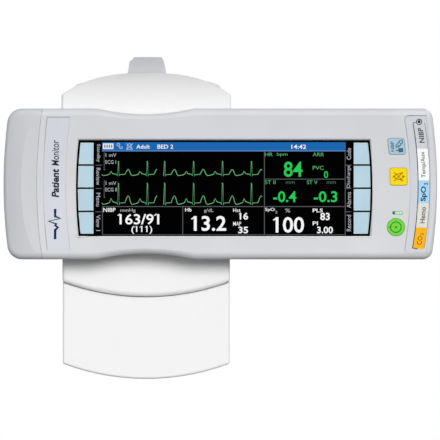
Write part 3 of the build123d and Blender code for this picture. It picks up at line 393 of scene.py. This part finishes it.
# %% Metals, rubber, boards and the rest of the inside
steel = metal("zinc_steel", (0.62, 0.63, 0.64, 1), 0.35)
plate_metal = metal("plate_steel", (0.50, 0.51, 0.53, 1), 0.42, (1, 1, 60))
tray_metal = metal("tray_aluminium", (0.72, 0.73, 0.74, 1), 0.38, (60, 1, 1))
gold = metal("contact_gold", (0.83, 0.62, 0.26, 1), 0.28)
rubber = plastic("seal_rubber", srgb(38, 38, 40), 0.75, depth=0.03)
silicone = plastic("silicone_hose", srgb(205, 204, 196), 0.45, depth=0.01)
dark = plastic("dark_plastic", srgb(42, 43, 46), 0.5)
board = plastic("board_green", srgb(28, 92, 58), 0.35, grain=900, depth=0.05, cloud=0.08, cloud_scale=160)
cell_wrap = plastic("cell_sleeve", srgb(52, 92, 150), 0.3, depth=0.01)
socket = plastic("socket_gray", srgb(98, 101, 106), 0.48)
for names, finish in (
    ("housing_screws mount_fasteners guide_posts lever_pin latch_spring nibp_pump", steel),
    ("mount_plate", plate_metal),
    ("chassis_plate power_module", tray_metal),
    ("contact_pads contact_pins", gold),
    ("housing_gasket shelf_pads", rubber),
    ("nibp_hose", silicone),
    ("speaker nibp_valve battery_case contact_block lcd_module latch_slide battery_latch", dark),
    ("main_board key_boards alarm_led_board dock_board", board),
    ("battery_cells", cell_wrap),
    ("battery_cover", casing),
    ("nibp_connector temp_aux_socket spo2_socket hemo_socket co2_socket", socket),
    ("dock_power_socket dock_data_sockets", socket),
):
    for node in names.split():
        paint(node, finish)
bare = [name for name, made in nodes.items() if not made.data.materials]
print("nodes without a finish:", bare)

# %% [markdown]
# ## The latch spring
#
# The latch slide rises into its coil spring when the lever is pushed. The shown spring is a
# copy of the coil that rides on the dock, in place of the hidden one.

# %% Copy of the spring
bm = bmesh.new()
bm.from_mesh(nodes["latch_spring"].data)
spring_mesh = bpy.data.meshes.new("latch_coil")
bm.to_mesh(spring_mesh)
bm.free()
spring_mesh.materials.append(steel)
coil = bpy.data.objects.new("latch_coil", spring_mesh)
bpy.context.scene.collection.objects.link(coil)
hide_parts("latch_spring")
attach(coil, "dock")
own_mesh(coil)

# %% [markdown]
# ## Print and light, laid on a surface
#
# Everything printed or shown is thin, so each colour is one mesh of flat shapes. Lettering
# starts as a text object, becomes a mesh, and is fitted to a box in its plane, because a
# screen font is narrower than the built-in one. The panels are slightly hollow, so the shapes
# are pressed onto the panel below them: a ray from the front finds the panel under each
# vertex. Last, every sheet gets a wall of a few hundredths of a millimetre.

# %% Helpers for flat shapes
def rectangle(bm, x0, x1, z0, z1):
    """A flat rectangle in the X and Z plane, facing -Y."""
    made = bmesh.ops.create_grid(bm, x_segments=1, y_segments=1, size=0.5)["verts"]
    bmesh.ops.scale(bm, vec=(x1 - x0, z1 - z0, 1), verts=made)
    bmesh.ops.rotate(bm, matrix=Matrix.Rotation(math.radians(90), 3, "X"), verts=made)
    bmesh.ops.translate(bm, vec=((x0 + x1) / 2, 0, (z0 + z1) / 2), verts=made)
    return made


def lettering(bm, text, x0, x1, z0, z1, bold=0.0, turn=0, slant=0.0):
    """Text stretched into the box, turned by this many degrees in its plane."""
    curve = bpy.data.curves.new("lettering", "FONT")
    curve.body, curve.offset, curve.shear, curve.resolution_u = text, bold, slant, 3
    holder = bpy.data.objects.new("lettering", curve)
    mesh = bpy.data.meshes.new_from_object(holder)
    before = len(bm.verts)
    bm.from_mesh(mesh)
    bm.verts.ensure_lookup_table()
    made = bm.verts[before:]
    bmesh.ops.rotate(bm, matrix=Matrix.Rotation(math.radians(turn), 3, "Z"), verts=made)
    low = Vector((min(v.co.x for v in made), min(v.co.y for v in made), 0))
    high = Vector((max(v.co.x for v in made), max(v.co.y for v in made), 0))
    bmesh.ops.translate(bm, vec=-(low + high) / 2, verts=made)
    bmesh.ops.scale(bm, vec=((x1 - x0) / (high.x - low.x), (z1 - z0) / (high.y - low.y), 1), verts=made)
    bmesh.ops.rotate(bm, matrix=Matrix.Rotation(math.radians(90), 3, "X"), verts=made)
    bmesh.ops.translate(bm, vec=((x0 + x1) / 2, 0, (z0 + z1) / 2), verts=made)
    bpy.data.objects.remove(holder)
    bpy.data.curves.remove(curve)
    bpy.data.meshes.remove(mesh)
    return made


def stroke(bm, points, width, closed=False):
    """A line of even width through the points (x, z), as a flattened tube."""
    curve = bpy.data.curves.new("stroke", "CURVE")
    curve.dimensions, curve.bevel_depth, curve.bevel_resolution = "3D", width / 2, 0
    spline = curve.splines.new("POLY")
    spline.points.add(len(points) - 1)
    for point, (x, z) in zip(spline.points, points):
        point.co = (x, 0, z, 1)
    spline.use_cyclic_u = closed
    curve.use_fill_caps = not closed
    holder = bpy.data.objects.new("stroke", curve)
    mesh = bpy.data.meshes.new_from_object(holder)
    before = len(bm.verts)
    bm.from_mesh(mesh)
    bm.verts.ensure_lookup_table()
    made = bm.verts[before:]
    bmesh.ops.scale(bm, vec=(1, 0.04 * MM / width, 1), verts=made)
    bpy.data.objects.remove(holder)
    bpy.data.curves.remove(curve)
    bpy.data.meshes.remove(mesh)
    return made


def disc(bm, x, z, radius, hole=0.0, segments=48):
    """A flat disc or ring facing -Y."""
    made = bmesh.ops.create_circle(bm, cap_ends=not hole, segments=segments, radius=radius)["verts"]
    if hole:
        rim = list({e for v in made for e in v.link_edges})
        inner = bmesh.ops.extrude_edge_only(bm, edges=rim)["geom"]
        inner = [g for g in inner if isinstance(g, bmesh.types.BMVert)]
        bmesh.ops.scale(bm, vec=(hole / radius, hole / radius, 1), verts=inner)
        made = made + inner
    bmesh.ops.rotate(bm, matrix=Matrix.Rotation(math.radians(90), 3, "X"), verts=made)
    bmesh.ops.translate(bm, vec=(x, 0, z), verts=made)
    return made


def top_of(*names):
    """A search tree over the named nodes' meshes, to find their front surface."""
    verts, faces = [], []
    for name in names:
        mesh = nodes[name].data
        start = len(verts)
        verts += [v.co.copy() for v in mesh.vertices]
        faces += [[start + i for i in p.vertices] for p in mesh.polygons]
    return BVHTree.FromPolygons(verts, faces)


def press_on(bm, tree, proud):
    """Move each vertex along Y until it stands this far in front of the surface."""
    last = None
    for v in bm.verts:
        hit = tree.ray_cast(Vector((v.co.x, -0.2, v.co.z)), Vector((0, 1, 0)))[0]
        if not hit:
            hit = last or tree.find_nearest(Vector((v.co.x, -0.1, v.co.z)))[0]
        last = hit
        v.co.y += hit.y - proud


def finish_sheet(name, bm, material, body, wall=0.04 * MM):
    """Make the flat shapes one thin piece that rides on a body."""
    bmesh.ops.remove_doubles(bm, verts=bm.verts, dist=1e-7)
    bmesh.ops.recalc_face_normals(bm, faces=bm.faces)
    mesh = bpy.data.meshes.new(name)
    bm.to_mesh(mesh)
    bm.free()
    made = bpy.data.objects.new(name, mesh)
    bpy.context.scene.collection.objects.link(made)
    mesh.materials.append(material)
    if wall:
        thick = made.modifiers.new("wall", "SOLIDIFY")
        thick.thickness, thick.offset = wall, 0
    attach(made, body)
    print(name, len(mesh.polygons), "faces")
    return made


# %% [markdown]
# ## The screen's picture
#
# The picture is a header bar, two heart traces, and cells with numbers. All of it is laid out
# in millimetres, across and down from the glass's top left corner. Three columns and four rows
# set the cells, and each word is placed from the corner of its own cell. The picture stands a
# few hundredths of a millimetre in front of the glass, so that it reads as lit.

# %% Screen layout
glass_low, glass_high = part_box("touch_glass")
GLASS_X, GLASS_Z = glass_low[0], glass_high[2]
SCREEN_Y = glass_low[1] - 0.05 * MM

PICTURE_LEFT, PICTURE_RIGHT = 4.6, 167.7
PICTURE_TOP, PICTURE_BOTTOM = 0.4, 62.4
HEADER_BOTTOM = 6.0
RULE = 0.47
TRACES_TOP = HEADER_BOTTOM + RULE
ST_TOP = 24.9
READINGS_TOP = 43.3
BLOOD_LEFT = 58.4
RIGHT_LEFT = 113.2
KEY_PITCH = 15.6

CORNER = {
    "header": (PICTURE_LEFT, PICTURE_TOP),
    "traces": (PICTURE_LEFT, TRACES_TOP),
    "heart": (RIGHT_LEFT, TRACES_TOP),
    "st": (RIGHT_LEFT, ST_TOP),
    "pressure": (PICTURE_LEFT, READINGS_TOP),
    "blood": (BLOOD_LEFT, READINGS_TOP),
    "oxygen": (RIGHT_LEFT, READINGS_TOP),
}


def at(across, down):
    """A place on the screen, in millimetres from the glass's top left corner."""
    return GLASS_X + across * MM, GLASS_Z - down * MM


def bar(bm, left, right, top, bottom):
    """A filled rectangle on the screen."""
    x0, z1 = at(left, top)
    x1, z0 = at(right, bottom)
    return rectangle(bm, x0, x1, z0, z1)


def say(bm, text, left, right, top, bottom, bold=0.0, turn=0):
    """Lettering on the screen, filling this box."""
    x0, z1 = at(left, top)
    x1, z0 = at(right, bottom)
    return lettering(bm, text, x0, x1, z0, z1, bold, turn)


def fill_cell(bm, cell, words):
    """Words of one cell: text, offset across and down from its corner, width, height, boldness."""
    across, down = CORNER[cell]
    for text, left, top, width, height, bold in words:
        x, y = across + left, down + top
        say(bm, text, x, x + width, y, y + height, bold)


def on_screen(name, bm, colour, strength=1.0, proud=0.0):
    """Place a sheet of screen shapes in front of the glass."""
    bmesh.ops.translate(bm, vec=(0, SCREEN_Y - proud, 0), verts=bm.verts)
    return finish_sheet(name, bm, light_film(name + "_light", colour, strength), "monitor")


bm = bmesh.new()
bar(bm, PICTURE_LEFT, PICTURE_RIGHT, PICTURE_TOP, HEADER_BOTTOM)
on_screen("screen_header", bm, srgb(28, 104, 178))
bm = bmesh.new()
bar(bm, PICTURE_LEFT, PICTURE_RIGHT, HEADER_BOTTOM, TRACES_TOP)
on_screen("screen_header_line", bm, srgb(110, 150, 205))
print("header", [round(v / MM, 1) for v in at(0, 0)])


# %% Screen rules
def upright(bm, across, top, bottom=PICTURE_BOTTOM, width=RULE):
    """A vertical rule."""
    bar(bm, across, across + width, top, bottom)


def level(bm, down, left, right, width=RULE):
    """A horizontal rule."""
    bar(bm, left, right, down, down + width)


def scale_bracket(bm, top, height=11.7, across=5.8, arm=0.9, width=0.4):
    """The bracket that marks one millivolt."""
    upright(bm, across, top, top + height, width)
    level(bm, top, across, across + arm, width)
    level(bm, top + height - width, across, across + arm, width)


bm = bmesh.new()
upright(bm, RIGHT_LEFT, TRACES_TOP)
upright(bm, PICTURE_RIGHT - 0.3, PICTURE_TOP)
upright(bm, BLOOD_LEFT, READINGS_TOP + 0.3)
upright(bm, PICTURE_LEFT, READINGS_TOP + 0.3)
level(bm, READINGS_TOP, PICTURE_LEFT, PICTURE_RIGHT)
level(bm, ST_TOP, RIGHT_LEFT + 0.2, PICTURE_RIGHT)
level(bm, PICTURE_BOTTOM - 0.2, PICTURE_LEFT, PICTURE_RIGHT + 0.2, 0.4)
for n in (1, 2, 3):
    level(bm, n * KEY_PITCH, 0.2, PICTURE_LEFT - 0.2)
    level(bm, n * KEY_PITCH, PICTURE_RIGHT + 0.2, PICTURE_RIGHT + 4.0)
scale_bracket(bm, 7.4)
scale_bracket(bm, 26.1)
on_screen("screen_rules", bm, srgb(92, 94, 98))

# %% [markdown]
# ## Heart traces
#
# Each beat has a small rise, a sharp spike with a dip after it, and a broad wave. The beat is
# written once as offsets in millimetres and repeated at an even pitch, as a steady heart does
# it. The sweep leaves a blank where the new line overwrites the old one, so the spacing
# restarts there.

# %% Draw the two traces
BEAT = [
    (-7.0, 0.3), (-5.9, 0.8), (-4.9, 2.8), (-3.8, 1.1), (-2.1, 0.7), (-1.1, 0.5), (-0.6, -0.4),
    (-0.15, 9.4), (0.2, 9.0), (0.5, -0.7), (0.9, 0.4), (4.4, 0.6), (5.6, 3.1), (6.4, 4.2), (7.2, 3.6),
    (8.4, 0.4), (9.2, -0.3), (11.1, 0.0),
]
BEAT_PITCH = 19.4
NEW_SPIKES = [15.5 + BEAT_PITCH * n for n in (-1, 0, 1)]
OLD_SPIKES = [46.5 + BEAT_PITCH * n for n in range(4)]
SWEEP_GAP = (41.9, 45.6)


def trace(bm, base, tall, waves, spikes, start, end):
    """One sweep of the trace between two places, with the beat repeated at each spike."""
    points = []
    for spike in spikes:
        for across, rise in BEAT:
            k = tall if abs(across) < 1.0 and rise > 3.3 else waves
            points.append((spike + across, base - rise * k))
    points = sorted(p for p in points if start <= p[0] <= end)
    return stroke(bm, [at(across, down) for across, down in points], 0.32 * MM)


bm = bmesh.new()
for base, tall, waves in ((22.5, 1.0, 0.95), (41.7, 1.5, 1.3)):
    trace(bm, base, tall, waves, NEW_SPIKES, PICTURE_LEFT - 0.2, SWEEP_GAP[0])
    trace(bm, base, tall, waves, OLD_SPIKES, SWEEP_GAP[1], RIGHT_LEFT - 0.2)
on_screen("screen_traces", bm, srgb(118, 208, 136), proud=0.02 * MM)

# %% Green readings
bm = bmesh.new()
fill_cell(bm, "heart", [("84", 13.2, 6.9, 12.5, 10.3, 0.012), ("0", 40.2, 13.3, 2.7, 4.6, 0.01)])
fill_cell(bm, "st", [("-0.4", 6.1, 8.3, 15.5, 7.4, 0.015), ("-0.3", 33.3, 8.3, 15.8, 7.4, 0.015)])
on_screen("screen_heart_numbers", bm, srgb(40, 205, 88), proud=0.01 * MM)
bm = bmesh.new()
fill_cell(bm, "heart", [
    ("HR", 0.6, 0.9, 5.2, 2.4, 0), ("bpm", 8.7, 0.9, 7.0, 2.7, 0), ("ARR", 32.6, 0.9, 7.6, 2.4, 0),
    ("PVC", 32.6, 9.8, 7.4, 2.6, 0),
])
fill_cell(bm, "st", [("ST II", 0.6, 1.1, 7.1, 2.5, 0), ("ST V", 28.7, 1.1, 7.1, 2.5, 0)])
on_screen("screen_heart_labels", bm, srgb(84, 178, 112), proud=0.01 * MM)
bm = bmesh.new()
fill_cell(bm, "st", [("mm", 14.6, 1.8, 5.9, 1.6, 0), ("mm", 42.1, 1.8, 6.0, 1.6, 0)])
on_screen("screen_unit_labels", bm, srgb(74, 104, 84), proud=0.01 * MM)

# %% White readings
bm = bmesh.new()
fill_cell(bm, "header", [
    ("Adult", 23.0, 1.6, 9.0, 2.7, 0.01), ("BED 2", 37.1, 1.6, 10.6, 2.7, 0.01),
    ("14:42", 126.9, 1.6, 9.9, 2.9, 0.012),
])
fill_cell(bm, "pressure", [
    ("NIBP", 0.8, 1.1, 8.2, 2.7, 0.01), ("163/91", 11.7, 5.2, 26.6, 7.1, 0.015),
    ("(111)", 19.6, 13.2, 14.0, 5.4, 0.01),
])
fill_cell(bm, "blood", [
    ("Hb", 1.9, 1.2, 4.3, 2.4, 0.012), ("13.2", 7.7, 6.5, 21.7, 10.1, 0.018),
    ("Hct", 34.1, 1.5, 4.9, 2.4, 0.008), ("16", 38.5, 4.3, 5.6, 4.7, 0.02),
    ("MAP", 34.1, 10.4, 5.3, 2.6, 0.006), ("35", 37.5, 13.7, 6.6, 4.5, 0.02),
])
fill_cell(bm, "oxygen", [
    ("SpO", 0.7, 1.1, 6.4, 2.7, 0.008), ("100", 7.8, 7.2, 19.0, 10.6, 0.014),
    ("PLS", 32.6, 1.6, 6.8, 2.5, 0.015), ("83", 37.7, 4.4, 6.3, 5.0, 0.02),
    ("PI", 32.6, 10.2, 3.5, 2.5, 0.015), ("3.00", 35.5, 13.7, 10.7, 4.5, 0.02),
])
on_screen("screen_white_numbers", bm, srgb(250, 250, 250), proud=0.01 * MM)

# The built-in font's 1 is a plain bar, so the larger ones get a flag.
FLAGS = (
    ("pressure", 11.9, 5.1, 1.3), ("pressure", 36.4, 5.1, 1.3), ("pressure", 22.2, 13.5, 0.8),
    ("pressure", 26.0, 13.5, 0.8), ("pressure", 29.7, 13.5, 0.8), ("blood", 7.9, 7.1, 1.7),
    ("blood", 39.0, 4.5, 0.9), ("oxygen", 8.3, 7.6, 1.9),
)
bm = bmesh.new()
for cell, left, top, size in FLAGS:
    x, y = CORNER[cell][0] + left, CORNER[cell][1] + top
    flag = [at(x, y), at(x - 0.5 * size, y + 0.62 * size), at(x - 1.1 * size, y + 0.9 * size)]
    stroke(bm, flag, size * 0.45 * MM)
on_screen("screen_figure_flags", bm, srgb(250, 250, 250), proud=0.02 * MM)

# %% Grey words
bm = bmesh.new()
fill_cell(bm, "traces", [
    ("1 mV", 2.4, 1.4, 7.1, 2.3, 0), ("ECG I", 2.2, 6.0, 7.1, 2.4, 0),
    ("1 mV", 2.4, 20.2, 7.1, 2.3, 0), ("ECG II", 2.2, 24.5, 7.7, 2.4, 0),
])
fill_cell(bm, "pressure", [("mmHg", 12.2, 1.6, 10.2, 2.8, 0)])
fill_cell(bm, "blood", [("g/dL", 14.5, 1.6, 6.4, 2.9, 0)])
fill_cell(bm, "oxygen", [("%", 14.1, 1.6, 3.5, 2.5, 0), ("2", 7.5, 3.1, 1.4, 1.7, 0)])
LEFT_KEY_WORDS = (
    ("Standby", 1.7, 13.7), ("Review", 17.6, 29.2), ("Menu", 34.4, 43.4), ("View 1", 49.2, 59.8),
)
RIGHT_KEY_WORDS = (
    ("Code", 4.3, 12.1), ("Discharge", 16.0, 30.9), ("Alarms", 33.8, 44.4), ("Record", 49.2, 60.0),
)
for text, top, bottom in LEFT_KEY_WORDS:
    say(bm, text, 0.6, 3.4, top, bottom, turn=-90)
for text, top, bottom in RIGHT_KEY_WORDS:
    say(bm, text, 168.6, 171.5, top, bottom, turn=90)
on_screen("screen_gray_words", bm, srgb(186, 188, 192), proud=0.01 * MM)

# %% Header symbols
bm = bmesh.new()
bar(bm, 5.1, 12.2, 1.2, 5.0)
on_screen("screen_battery_symbol", bm, srgb(236, 240, 246), proud=0.01 * MM)
bm = bmesh.new()
for n in range(4):
    bar(bm, 6.0 + 1.5 * n, 6.9 + 1.5 * n, 2.0, 4.2)
on_screen("screen_battery_bars", bm, srgb(120, 128, 150), proud=0.03 * MM)
bm = bmesh.new()
turns = [k * math.pi / 4 for k in range(8)]
stroke(bm, [at(15.5 + 1.0 * math.cos(a), 2.0 + 0.9 * math.sin(a)) for a in turns], 0.4 * MM, True)
link = ((15.8, 2.9), (16.3, 4.3), (17.4, 4.8), (18.4, 4.2), (18.0, 3.4), (16.9, 3.6))
stroke(bm, [at(*place) for place in link], 0.4 * MM)
small_bell = ((21.2, 5.1), (21.7, 2.1), (22.9, 1.2), (24.1, 2.1), (24.7, 5.1), (21.2, 5.1))
stroke(bm, [at(*place) for place in small_bell], 0.36 * MM)
stroke(bm, [at(20.8, 1.2), at(25.1, 5.5)], 0.36 * MM)
stroke(bm, [at(25.1, 1.2), at(20.8, 5.5)], 0.36 * MM)
on_screen("screen_status_symbols", bm, srgb(176, 206, 238), proud=0.02 * MM)

# %% [markdown]
# ## The printed label beside the sockets
#
# A strip of colours tells which cable goes where round the corner of the housing. It follows
# the bowed end of the case, so each block is a small grid whose columns are moved along the
# same arc, and is then pressed onto the hollow panel.

# %% Arc of the strip and its colour blocks
label_tree = top_of("label_panel")
STRIP_MID_X = 186.8 * MM
STRIP_BOW = 4.4 * MM
STRIP_HALF_H = 46 * MM


def strip_x(z):
    """X of the strip's centre line at this height."""
    return STRIP_MID_X - STRIP_BOW * (z / STRIP_HALF_H) ** 2


def block_on_strip(bm, z_low, z_high, half_w, slope=0.0):
    """A colour block between two heights, curved with the strip."""
    made = bmesh.ops.create_grid(bm, x_segments=4, y_segments=10, size=0.5)["verts"]
    for v in made:
        u, t = v.co.x * 2, v.co.y + 0.5
        z = z_low + (z_high - z_low) * t - slope * u * half_w
        v.co = Vector((strip_x(z) + u * half_w, 0, z))
    return made


def word_on_strip(bm, text, z_low, z_high, half_w, bold=0.0, shift=0.0):
    """A word that reads upwards along the strip and bends with it."""
    made = lettering(bm, text, -half_w, half_w, z_low, z_high, bold, 90)
    for v in made:
        v.co.x += strip_x(v.co.z) + shift
    return made


def on_label(name, bm, material, proud):
    """Lay a sheet of print on the label panel."""
    press_on(bm, label_tree, proud)
    return finish_sheet(name, bm, material, "monitor", 0.03 * MM)


HALF_STRIP = 3.85 * MM
for name, z_low, z_high, colour, slope in (
    ("label_temperature", 2.4, 23.6, (255, 255, 255), 0.0),
    ("label_oximeter", -13.0, 2.4, (170, 216, 244), 0.0),
    ("label_pressure_line", -29.2, -13.0, (226, 226, 216), 0.0),
    ("label_gas", -43.4, -29.2, (255, 182, 0), 0.1),
):
    bm = bmesh.new()
    block_on_strip(bm, z_low * MM, z_high * MM, HALF_STRIP, slope)
    on_label(name, bm, ink(name + "_ink", srgb(*colour)), 0.04 * MM)

# %% Words and lines of the label
bm = bmesh.new()
word_on_strip(bm, "NIBP", 27.6 * MM, 37.6 * MM, 1.7 * MM, 0.02, shift=0.2 * MM)
word_on_strip(bm, "Temp/Aux", 4.2 * MM, 21.6 * MM, 1.8 * MM, 0.012)
word_on_strip(bm, "Hemo", -26.4 * MM, -15.4 * MM, 1.7 * MM, 0.014)
on_label("label_words", bm, ink("label_words_ink", srgb(70, 72, 78)), 0.08 * MM)
bm = bmesh.new()
word_on_strip(bm, "CO", -40.8 * MM, -35.0 * MM, 1.7 * MM, 0.012)
word_on_strip(bm, "2", -34.4 * MM, -32.8 * MM, 1.0 * MM, 0.01, shift=0.8 * MM)
on_label("label_gas_word", bm, ink("label_gas_word_ink", srgb(158, 92, 10)), 0.08 * MM)
bm = bmesh.new()
word_on_strip(bm, "SpO", -11.6 * MM, -1.6 * MM, 2.2 * MM, 0.03)
word_on_strip(bm, "2", -0.9 * MM, 0.9 * MM, 1.2 * MM, 0.02, shift=1.2 * MM)
on_label("label_oximeter_word", bm, ink("label_oximeter_ink", srgb(26, 56, 112)), 0.08 * MM)

bm = bmesh.new()
edge = [(strip_x(z * MM) - HALF_STRIP - 0.2 * MM, z * MM) for z in range(-43, 43, 3)]
stroke(bm, edge + [(edge[-1][0] + 1.7 * MM, edge[-1][1])], 0.5 * MM)
stroke(bm, [(edge[0][0], edge[0][1]), (edge[0][0] + 3.4 * MM, edge[0][1] - 0.5 * MM)], 0.5 * MM)
on_label("label_border", bm, ink("label_border_ink", srgb(52, 52, 56)), 0.07 * MM)
bm = bmesh.new()
edge = [(strip_x(z * MM) + HALF_STRIP - 0.1 * MM, z * MM) for z in range(-43, 43, 3)]
stroke(bm, edge, 0.34 * MM)
on_label("label_border_right", bm, ink("label_border_pale_ink", srgb(150, 152, 158)), 0.07 * MM)

bm = bmesh.new()
px, pz = strip_x(42 * MM) + 0.2 * MM, 41.6 * MM
disc(bm, px, pz, 2.05 * MM, 1.5 * MM)
disc(bm, px, pz, 0.95 * MM)
stroke(bm, [(px - 1.0 * MM, pz + 0.2 * MM), (px, pz + 1.2 * MM), (px + 1.0 * MM, pz + 0.2 * MM)], 0.42 * MM)
on_label("label_plug_symbol", bm, ink("label_symbol_ink", srgb(44, 46, 52)), 0.07 * MM)

# %% [markdown]
# ## Key symbols
#
# The symbols are printed on the key caps and move with the keys, so each rides on its own
# key's body. They are lines and simple shapes from the ward's common symbol set: a cuff with
# a gauge, a crossed bell, and the ring and dot of a power key.

# %% Symbols on the three keys
def centre_of(node):
    low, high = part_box(node)
    return (low[0] + high[0]) / 2, (low[2] + high[2]) / 2


def on_key(name, bm, node, colour, turn=0.0, proud=0.05 * MM):
    """Lay a symbol, drawn about (0, 0) in metres, on a key cap."""
    x, z = centre_of(node)
    bmesh.ops.rotate(bm, matrix=Matrix.Rotation(math.radians(turn), 3, "Y"), verts=bm.verts)
    bmesh.ops.translate(bm, vec=(x, 0, z), verts=bm.verts)
    press_on(bm, top_of(node), proud)
    return finish_sheet(name, bm, ink(name + "_ink", srgb(*colour)), node, 0.03 * MM)


bm = bmesh.new()
lettering(bm, "NIBP", -3.9 * MM, -1.7 * MM, -3.4 * MM, 3.4 * MM, 0.01, 90)
rectangle(bm, 1.0 * MM, 4.2 * MM, -4.2 * MM, -1.4 * MM)
stroke(bm, [(-0.6 * MM, -2.8 * MM), (1.0 * MM, -2.8 * MM)], 0.6 * MM)
cuff = [(-0.8, 0.2), (2.2, 3.4), (4.0, 4.2), (4.2, 2.2), (1.4, -0.6)]
stroke(bm, [(x * MM, z * MM) for x, z in cuff], 0.6 * MM, True)
stroke(bm, [(0.2 * MM, -0.2 * MM), (-0.4 * MM, -1.4 * MM)], 0.5 * MM)
stroke(bm, [(0.6 * MM, 1.0 * MM), (2.0 * MM, 0.2 * MM)], 0.4 * MM)
stroke(bm, [(1.8 * MM, 2.4 * MM), (3.2 * MM, 1.4 * MM)], 0.4 * MM)
on_key("pressure_key_symbol", bm, "pressure_key", (70, 98, 132), -4.0)

bm = bmesh.new()
bell = [(-2.9, -2.3), (2.9, -2.3), (2.0, -1.2), (1.7, 1.0), (0.9, 2.5), (-0.9, 2.5)]
bell += [(-1.7, 1.0), (-2.0, -1.2)]
stroke(bm, [(-z * MM, x * MM) for x, z in bell], 0.5 * MM, True)
stroke(bm, [(-3.0 * MM, -3.0 * MM), (3.0 * MM, 3.0 * MM)], 0.42 * MM)
stroke(bm, [(-3.0 * MM, 3.0 * MM), (3.0 * MM, -3.0 * MM)], 0.42 * MM)
disc(bm, 3.3 * MM, 0, 0.8 * MM)
disc(bm, -3.2 * MM, 0, 0.6 * MM)
on_key("alarm_key_symbol", bm, "alarm_pause_key", (178, 116, 0), 0.0)

bm = bmesh.new()
disc(bm, 0, 0, 3.9 * MM, 3.1 * MM)
disc(bm, 0, 0, 0.8 * MM)
rectangle(bm, -5.0 * MM, -3.4 * MM, -0.4 * MM, 0.4 * MM)
on_key("power_key_symbol", bm, "power_key", (22, 158, 30))

bm = bmesh.new()
for k in range(3):
    rectangle(bm, (-1.7 + 1.65 * k) * MM, (-0.4 + 1.65 * k) * MM, -0.7 * MM, 0.7 * MM)
x, z = centre_of("charge_light_pipe")
bmesh.ops.translate(bm, vec=(x, 0, z), verts=bm.verts)
press_on(bm, top_of("charge_light_pipe"), 0.03 * MM)
bars_ink = ink("charge_bars_ink", srgb(224, 238, 230))
finish_sheet("charge_light_bars", bm, bars_ink, "monitor", 0.02 * MM)
bm = bmesh.new()
disc(bm, x - 2.5 * MM, z, 0.95 * MM)
press_on(bm, top_of("charge_light_pipe"), 0.04 * MM)
mark_ink = ink("charge_mark_ink", srgb(40, 118, 84))
finish_sheet("charge_light_mark", bm, mark_ink, "monitor", 0.02 * MM)

# %% [markdown]
# ## Painted highlight rims on the soft keys
#
# The keys' bevelled edges catch the light and show as a pale line round a blue field. The rim
# is a painted highlight for that: a fine closed pale line just inside the outline of the cap's
# front face.

# %% Make the rims
def key_rim(side, row):
    """A thin pale frame on one soft key: a painted highlight along its bevel."""
    node = f"soft_key_{side}_{row}"
    mesh = nodes[node].data
    front = min(v.co.y for v in mesh.vertices)
    face = [Vector((v.co.x, v.co.z)) for v in mesh.vertices if v.co.y < front + 0.1 * MM]
    middle = sum(face, Vector((0, 0))) / len(face)
    outline = [face[i] for i in convex_hull_2d(face)]
    outline = [p + (middle - p).normalized() * RIM_INSET for p in outline]
    bm = bmesh.new()
    stroke(bm, outline, RIM_WIDTH, True)
    bmesh.ops.translate(bm, vec=(0, front - 0.04 * MM, 0), verts=bm.verts)
    return finish_sheet(f"{node}_rim", bm, rim_highlight_paint, node, 0.05 * MM)


RIM_INSET = 0.3 * MM
RIM_WIDTH = 0.4 * MM
# Near-white finish: a painted highlight on the key bevels.
rim_highlight_paint = plastic("soft_key_rim_painted_highlight", srgb(228, 244, 250), 0.3, depth=0.005)
for side in ("left", "right"):
    for row in range(1, 5):
        key_rim(side, row)

# %% [markdown]
# ## The painted highlight on the screen's sill
#
# The chamfer along the screen's lower edge catches the light as a bright line. A thin pale stroke
# laid on the chamfer is a painted highlight that stands for it. Whether the real joint has a bead
# there is a guess.

# %% Lay the painted sill highlight
(mask_left, _, mask_low), (mask_right, _, _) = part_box("display_mask")
SILL_STEPS = 24
sill_left, sill_right = mask_left + 2 * MM, mask_right - 2 * MM
step = (sill_right - sill_left) / SILL_STEPS
bm = bmesh.new()
stroke(bm, [(sill_left + t * step, mask_low + 2.3 * MM) for t in range(SILL_STEPS + 1)], 0.7 * MM)
press_on(bm, top_of("front_housing"), 0.05 * MM)
# Near-white ink: a painted highlight along the chamfer.
sill_highlight_paint = ink("painted_sill_highlight_ink", srgb(252, 252, 254))
finish_sheet("painted_sill_highlight", bm, sill_highlight_paint, "monitor", 0.03 * MM)

# %% [markdown]
# ## A generic badge
#
# The badge panel carries a plain heart-line symbol and the words for what the thing is, both
# reading upwards, and nothing else.

# %% Print on the badge panel
badge_tree = top_of("badge_panel")


def on_badge(name, bm, colour):
    press_on(bm, badge_tree, 0.05 * MM)
    return finish_sheet(name, bm, ink(name + "_ink", srgb(*colour)), "monitor", 0.03 * MM)


bm = bmesh.new()
lettering(bm, "Patient", -63.0 * MM, -58.0 * MM, -9.0 * MM, 10.2 * MM, 0.035, 90, 0.15)
lettering(bm, "Monitor", -63.0 * MM, -58.0 * MM, 12.2 * MM, 29.4 * MM, 0.008, 90, 0.15)
on_badge("badge_words", bm, (44, 46, 54))
bm = bmesh.new()
pulse = [(0, -37.0), (0, -31.0), (1.4, -29.2), (0, -27.8), (0.6, -26.8), (-3.4, -25.0), (2.6, -23.2)]
pulse += [(0, -21.8), (0, -16.8)]
stroke(bm, [((-60.6 + 1.3 * x) * MM, z * MM) for x, z in pulse], 1.7 * MM)
on_badge("badge_pulse_line", bm, (14, 36, 122))
